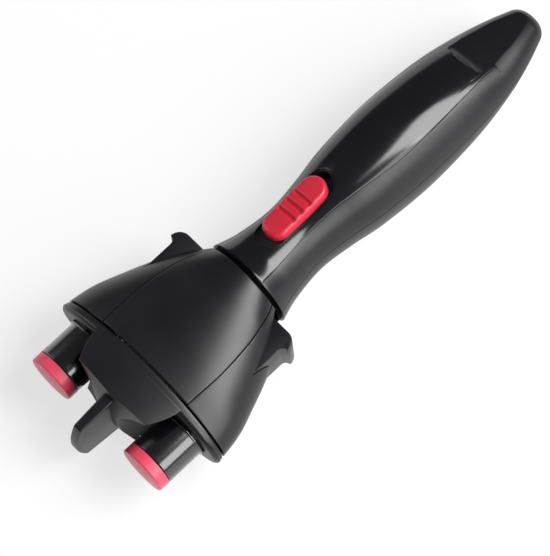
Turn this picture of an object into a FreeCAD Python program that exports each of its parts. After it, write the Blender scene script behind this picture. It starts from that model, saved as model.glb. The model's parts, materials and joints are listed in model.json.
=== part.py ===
import FreeCAD, Part
import math
import os

# Battery hair braider: a hand-held tool whose head turns two strands with two
# spinning hook barrels and then winds them round each other.
# Working frame: X is the common axis of handle and head, pointing to the hooks,
# Z is up with the flat side of the head lying level, and the origin is on the
# axis at the rear edge of the head.  The pieces are saved in the row frame,
# whose origin is the bottom centre of the whole tool's box.  Millimetres.

V = FreeCAD.Vector
os.makedirs("parts", exist_ok=True)

# ---- clearances -----------------------------------------------------------
running_fit = 0.05          # radial play of a shaft in its bearing
loose_gap = 0.35            # between pieces that move past each other
seat_gap = 0.15             # between a piece and the seat that holds it
seam_gap = 0.25             # open line between two covers
end_play = 0.3              # along the axis, between turning faces

# ---- head: covers ---------------------------------------------------------
neck_radius = 19.8
head_length = 50.4          # rear edge to the middle of the front edge
head_wall = 2.2
rim_half_width = 43.1
rim_half_height = 20.6
flare_x = [5.0, 10.0, 20.0, 31.0, 42.0]
flare_half_width = [23.8, 27.2, 32.2, 36.7, 40.7]
flare_half_height = [20.2, 20.7, 21.1, 21.2, 21.0]
rim_bow = 1.3               # how far the rim's sides stand forward of its middle
cover_edge_x = [3.0, 10.0, 18.6, 34.0]
cover_edge_y = [17.3, 19.8, 21.8, 23.3]
cover_edge_neck = 15.8
cover_edge_rim = 23.0
cover_screw_x = 31.0
cover_screw_y = 9.5
cover_boss_radius = 3.0
cover_screw_sink = 0.5
cover_lip_width = 1.2       # lip held between the sleeve's collar and flange
ledge_width = 1.6           # ledge behind the gear plate

# ---- head: front cap, divider and fin --------------------------------------
rim_seam = 1.0              # dark groove between the covers and the front cap
cap_thickness = 4.7
cap_wall = 2.2
cap_edge_round = 2.2
spigot_wall = 1.6
wing_edge_step = [0.0, 4.7, 10.6, 17.8]    # forward of the cap's rear face, along a wing's edge
wing_edge_y = [23.0, 22.7, 20.9, 17.2]
wing_front_half_width = 17.4
wing_front_bow = 1.8
wing_front_half_height = 19.6
wing_lip_drop = 11.0        # height of the slanted front of a wing
wing_lip_reach = 2.9
bowl_root_radius = 17.4     # hollow between the wings about each barrel, at the cap
bowl_mouth_radius = 19.8    # and at the wings' tips
fin_root_half_thickness = 2.9
fin_root_half_height = 19.5
fin_foot_thickness = 1.2
fin_tip_half_thickness = 1.9
fin_top_x = 86.0
fin_top_half_height = 14.9
fin_nose_x = 89.6

# ---- head: gear train and barrels ------------------------------------------
head_module = 0.8
central_teeth = 36
barrel_teeth = 27
gear_width = 4.0
barrel_radius = 10.2
barrel_wall = 2.0
barrel_front_x = 73.2
barrel_collar_height = 0.7
barrel_collar_width = 1.1
barrel_hub_radius = 5.0
barrel_bore_gap = 0.5       # front cap round a barrel
shaft_radius = 2.5
gear_plate_thickness = 2.3
gear_plate_setback = 1.1
frame_plate_thickness = 2.0
frame_half_width = 35.0
frame_half_height = 17.8
hub_seat_depth = 1.2        # of a barrel's hub in the frame plate
gear_hole_count = 6
gear_hole_radius = 3.0
gear_hole_offset = 8.8
post_y = 14.4
post_z = 13.4
post_radius = 2.1
head_screw_radius = 1.0
head_screw_head_radius = 1.8
head_screw_head_height = 1.2

# ---- head: hook caps, rods and levers --------------------------------------
cap_disc_length = 5.4
cap_dome = 0.9
cap_edge_fillet = 0.7
tongue_length = 3.6
tongue_width = 9.0
tongue_thickness = 1.2
rod_radius = 2.2
rod_flat = 1.5              # from the rod's centre to its flat
rod_depth_in_cap = 3.0
rod_flange_radius = 4.6
rod_flange_width = 1.5
lever_travel = 6.0
lever_outer_y = 29.8
lever_inner_y = 18.0
lever_half_height = 9.5
lever_rear_x = 2.7
lever_wall = 1.6
lever_block_end_x = 22.5
lever_lip_height = 2.4
lever_shoulder_radius = 5.0
lever_edge_fillet = 1.0
fork_rib = 1.5
spring_wire_radius = 0.3
spring_turns = 4
return_spring_radius = 3.2

# ---- neck joint ------------------------------------------------------------
groove_width = 2.0
collar_radius = 18.3
sleeve_radius = 10.0
sleeve_neck_radius = 16.2
flange_thickness = 2.2
bearing_setback = 0.8
bearing_thickness = 2.6
clip_radius = 12.4
clip_thickness = 1.0
sleeve_tail = 1.0

# ---- handle: drive ----------------------------------------------------------
gearbox_radius = 11.8
gearbox_module = 0.5
sun_teeth = 12
planet_teeth = 15
ring_teeth = 42
planet_count = 3
planet_width = 4.4
carrier_thickness = 1.8
planet_pin_radius = 1.0
gearbox_wall = 2.0
hub_radius = 5.0
hub_nose = 6.0
hub_socket_depth = 4.5
hub_end_gap = 0.8
motor_half_width = 10.0
motor_half_height = 7.5
motor_length = 25.0
motor_boss_radius = 3.1
motor_boss_length = 1.6
motor_shaft_radius = 1.0
motor_gap = 0.2

# ---- handle: batteries -------------------------------------------------------
cell_radius = 7.25
cell_length = 50.5
cell_nub_radius = 2.75
cell_nub_length = 1.0
cell_spacing = 0.3
wiring_space = 6.0
bay_wall = 1.7
contact_thickness = 0.4
contact_spring_length = 4.2
contact_leaf_radius = 3.0
contact_leaf_width = 6.0
tray_height = 9.4
tray_play = 0.2
cradle_shares = (0.2, 0.8)  # ribs under the cells, along their length
door_half_width = 11.5
door_grip_depth = 0.6
door_grip_radius = 1.0
door_grip_inset = 6.0
door_grip_pitch = 3.0

# ---- handle: covers ----------------------------------------------------------
handle_roll = 15.0          # degrees that the handle is turned about X from the head
handle_wall = 1.8
joint_radius = 19.4
flare_drop_x = 8.9          # from the front edge back to the flare station
flare_width = 16.7
flare_height = 17.2
waist_back = 24.6
waist_side_gap = 0.75       # gearbox to the inside of the waist
swell_back = 39.9
swell_width = 15.8
swell_height = 18.3
grip_side_margin = 3.1      # bay corner to the outside at the widest place
grip_half_height = 21.9
shoulder_ahead = 7.7        # ahead of the cells
shoulder_width = 18.2
shoulder_height = 20.5
grip_behind = 15.0          # behind the cells' front
palm_behind = 35.0
palm_width = 19.5
palm_height = 20.0
heel_behind = 50.5
heel_width = 18.4
heel_height = 16.7
taper_behind = 66.0
taper_width = 15.8
taper_height = 11.9
tail_behind = 78.0
tail_width = 12.1
tail_height = 9.4
end_behind = 91.1
end_width = 6.9
end_height = 5.9
end_round = 4.0
panel_thickness = 1.0
panel_overrun = 6.0         # the panel's outline runs on past the scoop
panel_step = 1.1            # the glossy panel ends short of the shell at the groove
panel_half_width = [12.6, 10.7, 9.2, 9.8, 12.1, 14.3, 14.2, 12.4, 10.4]
panel_spread = [0.0, 0.09, 0.21, 0.335, 0.455, 0.61, 0.765, 0.925, 1.03]
scoop_top_behind = 54.9     # the flat at the handle's end starts here, behind the cells' front
scoop_floor_behind = 62.0
scoop_floor_height = 10.6
scoop_end_height = 6.1
scoop_slope = 0.16          # fall of the flat per length
scoop_bend_share = 0.45     # where the wall above the flat bends, along and up
scoop_bend_rise = 0.6
bulkhead = 1.6
screw_radius = 1.1
screw_head_radius = 2.1
screw_head_height = 1.3
screw_boss_radius = 2.8
front_screw_y = 10.4
rear_screw_behind = 66.0

# ---- handle: switch ----------------------------------------------------------
slot_half_length = 19.2
slot_half_width = 6.4
slot_middle_x = -31.9
tray_floor = 1.0
tray_lift = 1.9             # gearbox to the underside of the slot tray
slot_depth = 1.9            # below the top of the waist
knob_half_length = 15.3
knob_half_width = 5.6
knob_travel = 3.4
knob_rise_front = 1.9
knob_rise_rear = 3.4
knob_fillet = 1.0
knob_rib_count = 3
knob_rib_pitch = 4.3
knob_groove_radius = 1.3
knob_groove_depth = 0.9
stem_half_length = 2.0
stem_half_width = 1.5
switch_half_length = 6.5
switch_half_width = 3.6
switch_lift = 0.4           # motor to the underside of the switch
lead_radius = 0.6
lead_bend = 1.6

# ---- gear teeth --------------------------------------------------------------
pressure_angle = math.radians(20.0)
addendum = 0.8              # times the module
dedendum = 1.1              # times the module
backlash = 0.12
flank_points = 5

outline_sections = 13       # ovals along the handle
oval_points = 12            # points that fix one oval
overrun = 1.0               # cutting shapes run this far past an open end
touch = 0.01                # for finding the edges that lie on a face

# ---- places worked out from the sizes ------------------------------------------
barrel_offset = head_module * (central_teeth + barrel_teeth) / 2.0
barrel_collar_radius = barrel_radius + barrel_collar_height
planet_offset = gearbox_module * (sun_teeth + planet_teeth) / 2.0
handle_front = -groove_width
bearing_front = handle_front - bearing_setback
bearing_back = bearing_front - bearing_thickness
clip_front = bearing_back - end_play
clip_back = clip_front - clip_thickness
sleeve_end = clip_back - sleeve_tail
hub_front = sleeve_end - hub_end_gap
gearbox_front = hub_front - hub_nose
carrier_front = gearbox_front - gearbox_wall - end_play
stage_length = carrier_thickness + planet_width + 2.0 * end_play
motor_front = carrier_front - 2.0 * stage_length
motor_back = motor_front - motor_length
bay_wall_front = motor_back - wiring_space
bay_wall_back = bay_wall_front - bay_wall
cell_front = bay_wall_back - contact_thickness - seat_gap
cell_back = cell_front - cell_length
rear_wall_front = cell_back - contact_spring_length - contact_thickness
cell_y = cell_radius + cell_spacing / 2.0
handle_end = cell_front - end_behind
waist_width = gearbox_radius + waist_side_gap + handle_wall
tray_bottom_z = gearbox_radius + tray_lift
tray_top_z = tray_bottom_z + tray_floor
waist_height = tray_top_z + slot_depth
grip_width = 2.0 * cell_radius + cell_spacing / 2.0 + grip_side_margin + 2.0

cap_rear = head_length + rim_seam
cap_face = cap_rear + cap_thickness
gear_plate_front = head_length - gear_plate_setback
gear_plate_back = gear_plate_front - gear_plate_thickness
gear_front = gear_plate_back - end_play
gear_back = gear_front - gear_width
frame_front = gear_back - end_play
frame_back = frame_front - frame_plate_thickness
hook_front = barrel_front_x + end_play + cap_disc_length
fork_rear = lever_block_end_x + end_play
flange_back = fork_rear + fork_rib + end_play
flange_front = flange_back + rod_flange_width
fork_front = flange_front + end_play
lever_front = fork_front + fork_rib
rim_radius = rim_half_width ** 2 / (2.0 * rim_bow)

far = 300.0                 # well beyond the tool, for cutting blocks


# ---- helpers -------------------------------------------------------------------
def box(x0, x1, y0, y1, z0, z1):
    """Block between two corners."""
    return Part.makeBox(x1 - x0, y1 - y0, z1 - z0, V(x0, y0, z0))


def rod(x0, x1, radius, y=0.0, z=0.0):
    """Round bar along X."""
    return Part.makeCylinder(radius, x1 - x0, V(x0, y, z), V(1, 0, 0))


def pin_z(x, y, z0, z1, radius):
    """Round bar along Z."""
    return Part.makeCylinder(radius, z1 - z0, V(x, y, z0), V(0, 0, 1))


def smooth(xs, values, x):
    """Value at x of the curve through (xs, values), by cubic Hermite spans."""
    pairs = sorted(zip(xs, values))
    slopes = []
    for i in range(len(pairs)):
        low, high = pairs[max(i - 1, 0)], pairs[min(i + 1, len(pairs) - 1)]
        slopes.append((high[1] - low[1]) / (high[0] - low[0]))
    for i in range(len(pairs) - 1):
        if x <= pairs[i + 1][0] or i == len(pairs) - 2:
            (xa, va), (xb, vb) = pairs[i], pairs[i + 1]
            span = xb - xa
            t = (x - xa) / span
            return ((2 * t**3 - 3 * t**2 + 1) * va + (t**3 - 2 * t**2 + t) * span * slopes[i]
                    + (3 * t**2 - 2 * t**3) * vb + (t**3 - t**2) * span * slopes[i + 1])


def oval(x, half_width, half_height):
    """Closed ellipse across the axis at x."""
    points = []
    for k in range(oval_points):
        angle = 2.0 * math.pi * k / oval_points
        points.append(V(x, half_width * math.cos(angle), half_height * math.sin(angle)))
    curve = Part.BSplineCurve()
    curve.interpolate(points, True)
    return Part.Wire(curve.toShape())


def oval_body(xs, size_at, inset):
    """Solid through ovals at xs, each pulled in by inset."""
    sections = []
    for x in xs:
        width, height = size_at(x)
        sections.append(oval(x, width - inset, height - inset))
    return Part.makeLoft(sections, True, False)


def spread(start, end, count):
    """Evenly spaced values from start to end."""
    return [start + (end - start) * i / (count - 1) for i in range(count)]


def stadium(x, half_length, half_width, z0, z1, y=0.0):
    """Upright prism with round ends, long way along X."""
    reach = half_length - half_width
    block = box(x - reach, x + reach, y - half_width, y + half_width, z0, z1)
    return block.fuse([pin_z(x - reach, y, z0, z1, half_width),
                       pin_z(x + reach, y, z0, z1, half_width)]).removeSplitter()


def prism_y(points, half_width):
    """Outline in XZ carried across Y, centred."""
    outline = [V(x, -half_width, z) for x, z in points]
    return Part.Face(Part.makePolygon(outline + outline[:1])).extrude(V(0, 2 * half_width, 0))


def plan_prism(edge_at, xs, z0, z1):
    """Upright prism between the curves y = edge_at(x) and y = -edge_at(x)."""
    sides = []
    for sign in (1.0, -1.0):
        curve = Part.BSplineCurve()
        curve.interpolate([V(x, sign * edge_at(x), z0) for x in xs])
        sides.append(curve.toShape())
    ends = [Part.makeLine(V(x, edge_at(x), z0), V(x, -edge_at(x), z0)) for x in (xs[0], xs[-1])]
    outline = Part.Wire(Part.__sortEdges__(sides + ends))
    return Part.Face(outline).extrude(V(0, 0, z1 - z0))


def gear_outline(teeth, module, tip, root, thinning):
    """Points round a gear: involute flanks from root radius to tip radius."""
    pitch = module * teeth / 2.0
    base = pitch * math.cos(pressure_angle)
    half_tooth = math.pi / (2 * teeth) - thinning / (2 * pitch)
    roll = math.tan(pressure_angle) - pressure_angle

    def half_angle(radius):
        lean = math.acos(min(1.0, base / radius))
        return half_tooth + roll - (math.tan(lean) - lean)

    radii = spread(max(root, base), tip, flank_points)
    if root < base:
        radii.insert(0, root)
    points = []
    for tooth in range(teeth):
        middle = 2 * math.pi * tooth / teeth
        for radius in radii:
            points.append((radius, middle - half_angle(radius)))
        for radius in reversed(radii):
            points.append((radius, middle + half_angle(radius)))
    return points


def gear(x0, x1, teeth, module, y=0.0, z=0.0, turn=0.0, space=False):
    """Gear along X with a tooth towards +Y, or with space=True the cutter of a ring gear."""
    pitch = module * teeth / 2.0
    tip = pitch + (dedendum if space else addendum) * module
    root = pitch - (addendum if space else dedendum) * module
    thinning = -backlash if space else backlash
    outline = []
    for radius, angle in gear_outline(teeth, module, tip, root, thinning):
        outline.append(V(x0, y + radius * math.cos(angle + turn), z + radius * math.sin(angle + turn)))
    return Part.Face(Part.makePolygon(outline + outline[:1])).extrude(V(x1 - x0, 0, 0))


def coil(x0, x1, radius, turns, y, z):
    """Round-wire compression spring along X."""
    length = x1 - x0 - 2 * spring_wire_radius
    path = Part.makeHelix(length / turns, length, radius)
    lean = math.atan2(length / turns, 2 * math.pi * radius)
    section = Part.makeCircle(spring_wire_radius, V(radius, 0, 0),
                              V(0, math.cos(lean), math.sin(lean)))
    spring = Part.Wire(path.Edges).makePipeShell([Part.Wire(section)], True, True)
    spring.rotate(V(0, 0, 0), V(0, 1, 0), 90)
    spring.translate(V(x0 + spring_wire_radius, y, z))
    return spring


def lead(points, radius, bend):
    """Insulated wire: straight runs joined by tangent arcs."""
    corners = [V(*p) for p in points]
    edges = []
    start = corners[0]
    for before, corner, after in zip(corners, corners[1:], corners[2:]):
        inward = (before - corner).normalize()
        outward = (after - corner).normalize()
        half_turn = inward.getAngle(outward) / 2.0
        reach = bend / math.tan(half_turn)
        first, last = corner + inward * reach, corner + outward * reach
        bisector = (inward + outward).normalize()
        middle = corner + bisector * (bend / math.sin(half_turn) - bend)
        edges.append(Part.makeLine(start, first))
        edges.append(Part.Arc(first, middle, last).toShape())
        start = last
    edges.append(Part.makeLine(start, corners[-1]))
    section = Part.makeCircle(radius, corners[0], corners[1] - corners[0])
    return Part.Wire(edges).makePipeShell([Part.Wire(section)], True, False)


def screw(x, y, z, length, radius, head_radius, head_height, along):
    """Pan-head screw whose head starts at (x, y, z) and whose shank points along."""
    axis = V(*along)
    head = Part.makeCylinder(head_radius, head_height, V(x, y, z), axis)
    shank = Part.makeCylinder(radius, length, V(x, y, z), axis)
    recess = Part.makeCylinder(radius, head_height / 2.0, V(x, y, z), axis)
    return head.fuse(shank).removeSplitter().cut(recess)


def biggest(shape):
    """The largest solid of a result, so that slivers are dropped."""
    return max(shape.Solids, key=lambda solid: solid.Volume)


saved = []


def save(name, shape, in_handle=False):
    """Write one node in the row frame; the handle's pieces are turned by its roll."""
    piece = shape.copy()
    if in_handle:
        piece.rotate(V(0, 0, 0), V(1, 0, 0), handle_roll)
    piece.translate(row_shift)
    piece.exportStep("parts/" + name + ".step")
    saved.append(name)
    print(name, len(piece.Solids), round(piece.Volume, 1), piece.isValid())


# ---- handle outline --------------------------------------------------------------
station_x = [handle_front, handle_front - flare_drop_x, handle_front - waist_back,
             handle_front - swell_back, cell_front + shoulder_ahead, cell_front - grip_behind,
             cell_front - palm_behind, cell_front - heel_behind, cell_front - taper_behind,
             cell_front - tail_behind, handle_end]
station_width = [joint_radius, flare_width, waist_width, swell_width, shoulder_width, grip_width,
                 palm_width, heel_width, taper_width, tail_width, end_width]
station_height = [joint_radius, flare_height, waist_height, swell_height, shoulder_height,
                  grip_half_height, palm_height, heel_height, taper_height, tail_height, end_height]


def handle_size(x):
    """Half-width and half-height of the handle at x."""
    inside = min(max(x, handle_end), handle_front)
    return smooth(station_x, station_width, inside), smooth(station_x, station_height, inside)


def handle_body(inset, front=handle_front):
    """The handle's outer form, pulled in by inset."""
    xs = spread(handle_end + inset, handle_front, outline_sections)
    if front > handle_front:
        xs.append(front)
    return oval_body(xs, handle_size, inset)


def scoop(drop):
    """The space above the flat at the handle's end, lowered by drop."""
    top_x = cell_front - scoop_top_behind
    top_z = handle_size(top_x)[1]
    floor_x = cell_front - scoop_floor_behind
    rise_x = top_x + drop
    bend = V(floor_x + (top_x - floor_x) * scoop_bend_share, 0, scoop_floor_height - drop + scoop_bend_rise)
    front = Part.Arc(V(floor_x, 0, scoop_floor_height - drop), bend, V(rise_x, 0, top_z - drop)).toShape()
    edges = [Part.makeLine(V(handle_end - far, 0, scoop_end_height - drop - scoop_slope * far),
                           V(floor_x, 0, scoop_floor_height - drop)),
             front,
             Part.makeLine(V(rise_x, 0, top_z - drop), V(rise_x + overrun, 0, far)),
             Part.makeLine(V(rise_x + overrun, 0, far), V(handle_end - far, 0, far)),
             Part.makeLine(V(handle_end - far, 0, far),
                           V(handle_end - far, 0, scoop_end_height - drop - scoop_slope * far))]
    face = Part.Face(Part.Wire(edges))
    face.translate(V(0, -far / 2, 0))
    return face.extrude(V(0, far, 0))


lowest = 0.0
for x in spread(handle_end, handle_front, outline_sections):
    half_width, half_height = handle_size(x)
    reach = math.hypot(half_width * math.sin(math.radians(handle_roll)),
                       half_height * math.cos(math.radians(handle_roll)))
    lowest = max(lowest, reach)
row_shift = V(-(fin_nose_x + handle_end) / 2.0, 0, lowest)

# ---- handle shells ---------------------------------------------------------------
body = handle_body(0.0)
body = body.makeFillet(end_round, [e for e in body.Edges if e.CenterOfMass.x < handle_end + touch])
body = body.cut(scoop(0.0))
hollow = handle_body(handle_wall, handle_front + overrun).cut(scoop(handle_wall))
panel_seat = handle_body(panel_thickness, handle_front + overrun)
clear_inside = handle_body(handle_wall + seat_gap, handle_front + overrun).cut(scoop(handle_wall + seat_gap))

panel_end = cell_front - scoop_top_behind
panel_x = [handle_front + (panel_end - handle_front) * share for share in panel_spread]


def panel_edge(x):
    """Half-width of the glossy panel in plan."""
    return smooth(panel_x, panel_half_width, x)


panel_xs = [panel_x[-1] - panel_overrun] + list(reversed(panel_x)) + [handle_front + groove_width]
panel_plan = plan_prism(panel_edge, panel_xs, 0.0, far)
panel_space = plan_prism(lambda x: panel_edge(x) + seam_gap, panel_xs, 0.0, far)
slot_hole = stadium(slot_middle_x, slot_half_length + seat_gap, slot_half_width + seat_gap, 0.0, far)

handle_top_panel = body.common(panel_plan).cut(panel_seat).cut(slot_hole)
handle_top_panel = biggest(handle_top_panel.cut(box(handle_front - panel_step, far, -far, far, -far, far)))


def rib(x0, x1, hole=None):
    """Block across the handle between x0 and x1, with a hole for what passes it."""
    block = box(x0, x1, -far, far, -far, far)
    return block if hole is None else block.cut(hole)


motor_seat = box(-far, far, -motor_half_width - seat_gap, motor_half_width + seat_gap,
                 -motor_half_height - seat_gap, motor_half_height + seat_gap)
wiring_hole = box(-far, far, -cell_radius, cell_radius, -motor_half_height, motor_half_height)
switch_room = box(bay_wall_front, slot_middle_x + slot_half_length, -slot_half_width,
                  slot_half_width, motor_half_height, far)
ribs = [rib(clip_back - bulkhead / 2, bearing_back - end_play / 2, rod(-far, far, clip_radius + loose_gap)),
        rib(gearbox_front - bulkhead * 2, gearbox_front - bulkhead,
            rod(-far, far, gearbox_radius + seat_gap)),
        rib(motor_front - bulkhead * 3, motor_front - bulkhead * 2, motor_seat),
        rib(motor_back + bulkhead, motor_back + bulkhead * 2, motor_seat),
        rib(bay_wall_back, bay_wall_front, wiring_hole),
        rib(rear_wall_front - bulkhead, rear_wall_front)]
for share in cradle_shares:
    rib_x = cell_front - cell_length * share
    ribs.append(rib(rib_x - bulkhead, rib_x, box(-far, far, -far, far, -far, tray_height + seat_gap)))
ribs = [block.cut(switch_room) for block in ribs]
front_screw_x = hub_front - hub_nose / 2
rear_screw_x = cell_front - rear_screw_behind
screw_places = [(front_screw_x, front_screw_y), (front_screw_x, -front_screw_y), (rear_screw_x, 0.0)]
bosses = [pin_z(x, y, -far, far, screw_boss_radius) for x, y in screw_places]
cavity = hollow.cut(ribs + bosses)

handle_screws = []
screw_holes = []
for x, y in screw_places:
    width, height = handle_size(x)
    head_z = screw_head_height - height * math.sqrt(1.0 - (y / width) ** 2)
    shank = screw_boss_radius - head_z
    screw_holes.append(pin_z(x, y, -far, head_z + screw_head_height, screw_head_radius + seat_gap))
    screw_holes.append(pin_z(x, y, -far, screw_boss_radius, screw_radius))
    handle_screws.append(screw(x, y, head_z, shank, screw_radius, screw_head_radius,
                               screw_head_height, (0, 0, 1)))

upper = box(-far, far, -far, far, seam_gap / 2, far)
lower = box(-far, far, -far, far, -far, -seam_gap / 2)
door_x0 = cell_back - contact_spring_length + bulkhead
door_x1 = cell_front - bulkhead
door_hole = box(door_x0, door_x1, -door_half_width, door_half_width, -far, -cell_radius)
recess = panel_space.cut(panel_seat)
handle_top_shell = body.common(upper).cut([cavity, recess, slot_hole] + screw_holes)
handle_bottom_shell = body.common(lower).cut([cavity, door_hole] + screw_holes)

grips = []
for step in (-1, 0, 1):
    groove_x = door_x1 - door_grip_inset + step * door_grip_pitch
    groove_z = door_grip_depth - handle_size(groove_x)[1] - door_grip_radius
    grips.append(Part.makeCylinder(door_grip_radius, door_half_width,
                                   V(groove_x, -door_half_width / 2, groove_z), V(0, 1, 0)))
battery_door = body.common(box(door_x0 + loose_gap, door_x1 - loose_gap, loose_gap - door_half_width,
                               door_half_width - loose_gap, -far, -cell_radius))
battery_door = biggest(battery_door.cut([hollow] + grips))

save("handle_top_shell", biggest(handle_top_shell), True)
save("handle_bottom_shell", biggest(handle_bottom_shell), True)
save("handle_top_panel", handle_top_panel, True)
save("battery_door", battery_door, True)
save("handle_screws", Part.makeCompound(handle_screws), True)

# ---- switch ------------------------------------------------------------------------
stem_slot = stadium(slot_middle_x, stem_half_length + knob_travel + loose_gap, stem_half_width + loose_gap,
                    0.0, far)
cup = stadium(slot_middle_x, slot_half_length, slot_half_width, tray_bottom_z, far)
cup = cup.cut(stadium(slot_middle_x, slot_half_length - tray_floor / 2, slot_half_width - tray_floor / 2,
                      tray_top_z, far))
slot_tray = biggest(cup.common(handle_body(panel_step / 2)).cut(stem_slot))
save("slot_tray", slot_tray, True)

knob_floor = tray_top_z + loose_gap
knob_front_x = slot_middle_x + knob_half_length
knob_rear_x = slot_middle_x - knob_half_length
knob_front_z = handle_size(knob_front_x)[1] + knob_rise_front
knob_rear_z = handle_size(knob_rear_x)[1] + knob_rise_rear - knob_rise_front
knob = stadium(slot_middle_x, knob_half_length, knob_half_width, knob_floor, far)
knob = knob.common(prism_y([(knob_rear_x, knob_floor), (knob_front_x, knob_floor),
                            (knob_front_x, knob_front_z), (knob_rear_x, knob_rear_z)], far))
knob = knob.makeFillet(knob_fillet, [e for e in knob.Edges if e.BoundBox.ZMin > knob_front_z - touch])
for i in range(knob_rib_count):
    groove_x = slot_middle_x + (i - 1) * knob_rib_pitch
    share = (groove_x - knob_rear_x) / (knob_front_x - knob_rear_x)
    top = knob_rear_z + (knob_front_z - knob_rear_z) * share
    knob = knob.cut(Part.makeCylinder(knob_groove_radius, far,
                                      V(groove_x, -far / 2, top + knob_groove_radius - knob_groove_depth),
                                      V(0, 1, 0)))
stem_foot = tray_bottom_z - tray_lift / 2
knob = knob.fuse(stadium(slot_middle_x, stem_half_length, stem_half_width, stem_foot,
                         knob_floor + tray_floor)).removeSplitter()
save("switch_knob", knob, True)

switch_floor = motor_half_height + switch_lift
switch_top = tray_bottom_z - seat_gap
switch_body = box(slot_middle_x - switch_half_length, slot_middle_x + switch_half_length,
                  -switch_half_width, switch_half_width, switch_floor, switch_top)
switch_body = switch_body.cut(stadium(slot_middle_x, stem_half_length + knob_travel + loose_gap,
                                      stem_half_width + loose_gap, stem_foot - loose_gap, far))
switch_body = switch_body.cut(rod(motor_front - end_play, far, gearbox_radius + seat_gap))
save("switch_body", biggest(switch_body), True)

# ---- motor and gearbox ----------------------------------------------------------------
motor_can = rod(motor_back, motor_front - motor_gap, motor_half_width).common(
    box(motor_back, motor_front, -far, far, -motor_half_height, motor_half_height))
motor_can = motor_can.fuse(rod(motor_back - motor_boss_length, motor_back, motor_boss_radius))
motor_can = motor_can.cut(rod(motor_back - far, far, motor_shaft_radius + running_fit)).removeSplitter()
save("motor_can", motor_can, True)

planet_back = motor_front + end_play
stage_1 = (planet_back, planet_back + planet_width)
stage_2 = (stage_1[0] + stage_length, stage_1[1] + stage_length)
carrier_1 = (stage_1[1] + end_play / 2, stage_1[1] + end_play / 2 + carrier_thickness)
carrier_2 = (stage_2[1] + end_play / 2, stage_2[1] + end_play / 2 + carrier_thickness)
motor_shaft = rod(motor_back - motor_boss_length, stage_1[1] - end_play, motor_shaft_radius)
save("motor_shaft", motor_shaft, True)
pinion = gear(stage_1[0], stage_1[1] - end_play, sun_teeth, gearbox_module)
save("motor_pinion", pinion.cut(rod(-far, far, motor_shaft_radius)), True)

housing = rod(motor_front, gearbox_front, gearbox_radius)
housing = housing.cut(gear(motor_front - overrun, gearbox_front - gearbox_wall, ring_teeth, gearbox_module,
                           space=True))
housing = housing.cut(rod(-far, far, hub_radius + running_fit))
save("gearbox_housing", biggest(housing), True)

carrier_radius = gearbox_module * (ring_teeth / 2.0 - addendum) - loose_gap
for number, stage, plate in ((1, stage_1, carrier_1), (2, stage_2, carrier_2)):
    carrier = rod(plate[0], plate[1], carrier_radius)
    pins = []
    for k in range(planet_count):
        angle = 2 * math.pi * k / planet_count
        y, z = planet_offset * math.cos(angle), planet_offset * math.sin(angle)
        pins.append(rod(stage[0], plate[0], planet_pin_radius, y, z))
        planet = gear(stage[0], stage[1], planet_teeth, gearbox_module, y, z, turn=angle)
        planet = planet.cut(rod(-far, far, planet_pin_radius + running_fit, y, z))
        save("planet_gear_%d_%d" % (number, k + 1), planet, True)
    carrier = carrier.fuse(pins)
    if number == 1:
        carrier = carrier.fuse(gear(plate[1], stage_2[1] - end_play, sun_teeth, gearbox_module))
        save("first_carrier", carrier.removeSplitter(), True)
    else:
        carrier = carrier.fuse(rod(plate[1], hub_front, hub_radius))
        carrier = carrier.cut(rod(hub_front - hub_socket_depth, hub_front, shaft_radius + running_fit))
        save("output_carrier", carrier.removeSplitter(), True)

# ---- batteries --------------------------------------------------------------------------
nub_x = cell_front - cell_nub_length
for name, side in (("cell_left", 1), ("cell_right", -1)):
    cell = rod(cell_back, nub_x, cell_radius, side * cell_y)
    cell = cell.fuse(rod(nub_x, cell_front, cell_nub_radius, side * cell_y)).removeSplitter()
    save(name, cell, True)
tray = box(cell_back, cell_front, -2 * cell_radius, 2 * cell_radius, cell_radius / 4, tray_height)
tray = tray.common(clear_inside)
for side in (1, -1):
    tray = tray.cut(rod(-far, far, cell_radius + tray_play, side * cell_y))
save("battery_tray", biggest(tray), True)
contacts = []
for side in (1, -1):
    contacts.append(box(bay_wall_back - contact_thickness, bay_wall_back, side * cell_y - cell_nub_radius,
                        side * cell_y + cell_nub_radius, -cell_nub_radius, cell_nub_radius))
save("front_contacts", Part.makeCompound(contacts), True)
bridge = box(rear_wall_front, rear_wall_front + contact_thickness, -cell_y - cell_nub_radius,
             cell_y + cell_nub_radius, -contact_leaf_radius, contact_leaf_radius)
save("rear_contact", bridge, True)
leaf_back = rear_wall_front + contact_thickness + seat_gap
leaf_middle = cell_back - seat_gap - contact_leaf_radius


def leaf(radius, y):
    """Two legs joined by a half-round front that presses on the cell."""
    front = pin_z(leaf_middle, y, -contact_leaf_width / 2.0, contact_leaf_width / 2.0, radius)
    return front.fuse(box(leaf_back, leaf_middle, y - radius, y + radius, -contact_leaf_width / 2.0,
                          contact_leaf_width / 2.0)).common(box(leaf_back, far, -far, far, -far, far))


springs = []
for y in (cell_y, -cell_y):
    springs.append(leaf(contact_leaf_radius, y).cut(leaf(contact_leaf_radius - contact_thickness, y)))
save("contact_springs", Part.makeCompound(springs), True)

terminal_x = motor_back - motor_boss_length
lead_z = motor_half_height - 2 * lead_radius
lead_x = (bay_wall_front + terminal_x) / 2
for name, side in (("lead_red", 1), ("lead_black", -1)):
    wire_y, wire_z = side * cell_radius / 2, switch_floor + lead_z / 2
    points = [(bay_wall_back + seat_gap, wire_y, 0), (lead_x, wire_y, 0), (lead_x, wire_y, wire_z),
              (slot_middle_x - switch_half_length - seat_gap, side * switch_half_width / 2, wire_z)]
    save(name, lead(points, lead_radius, lead_bend), True)

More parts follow.
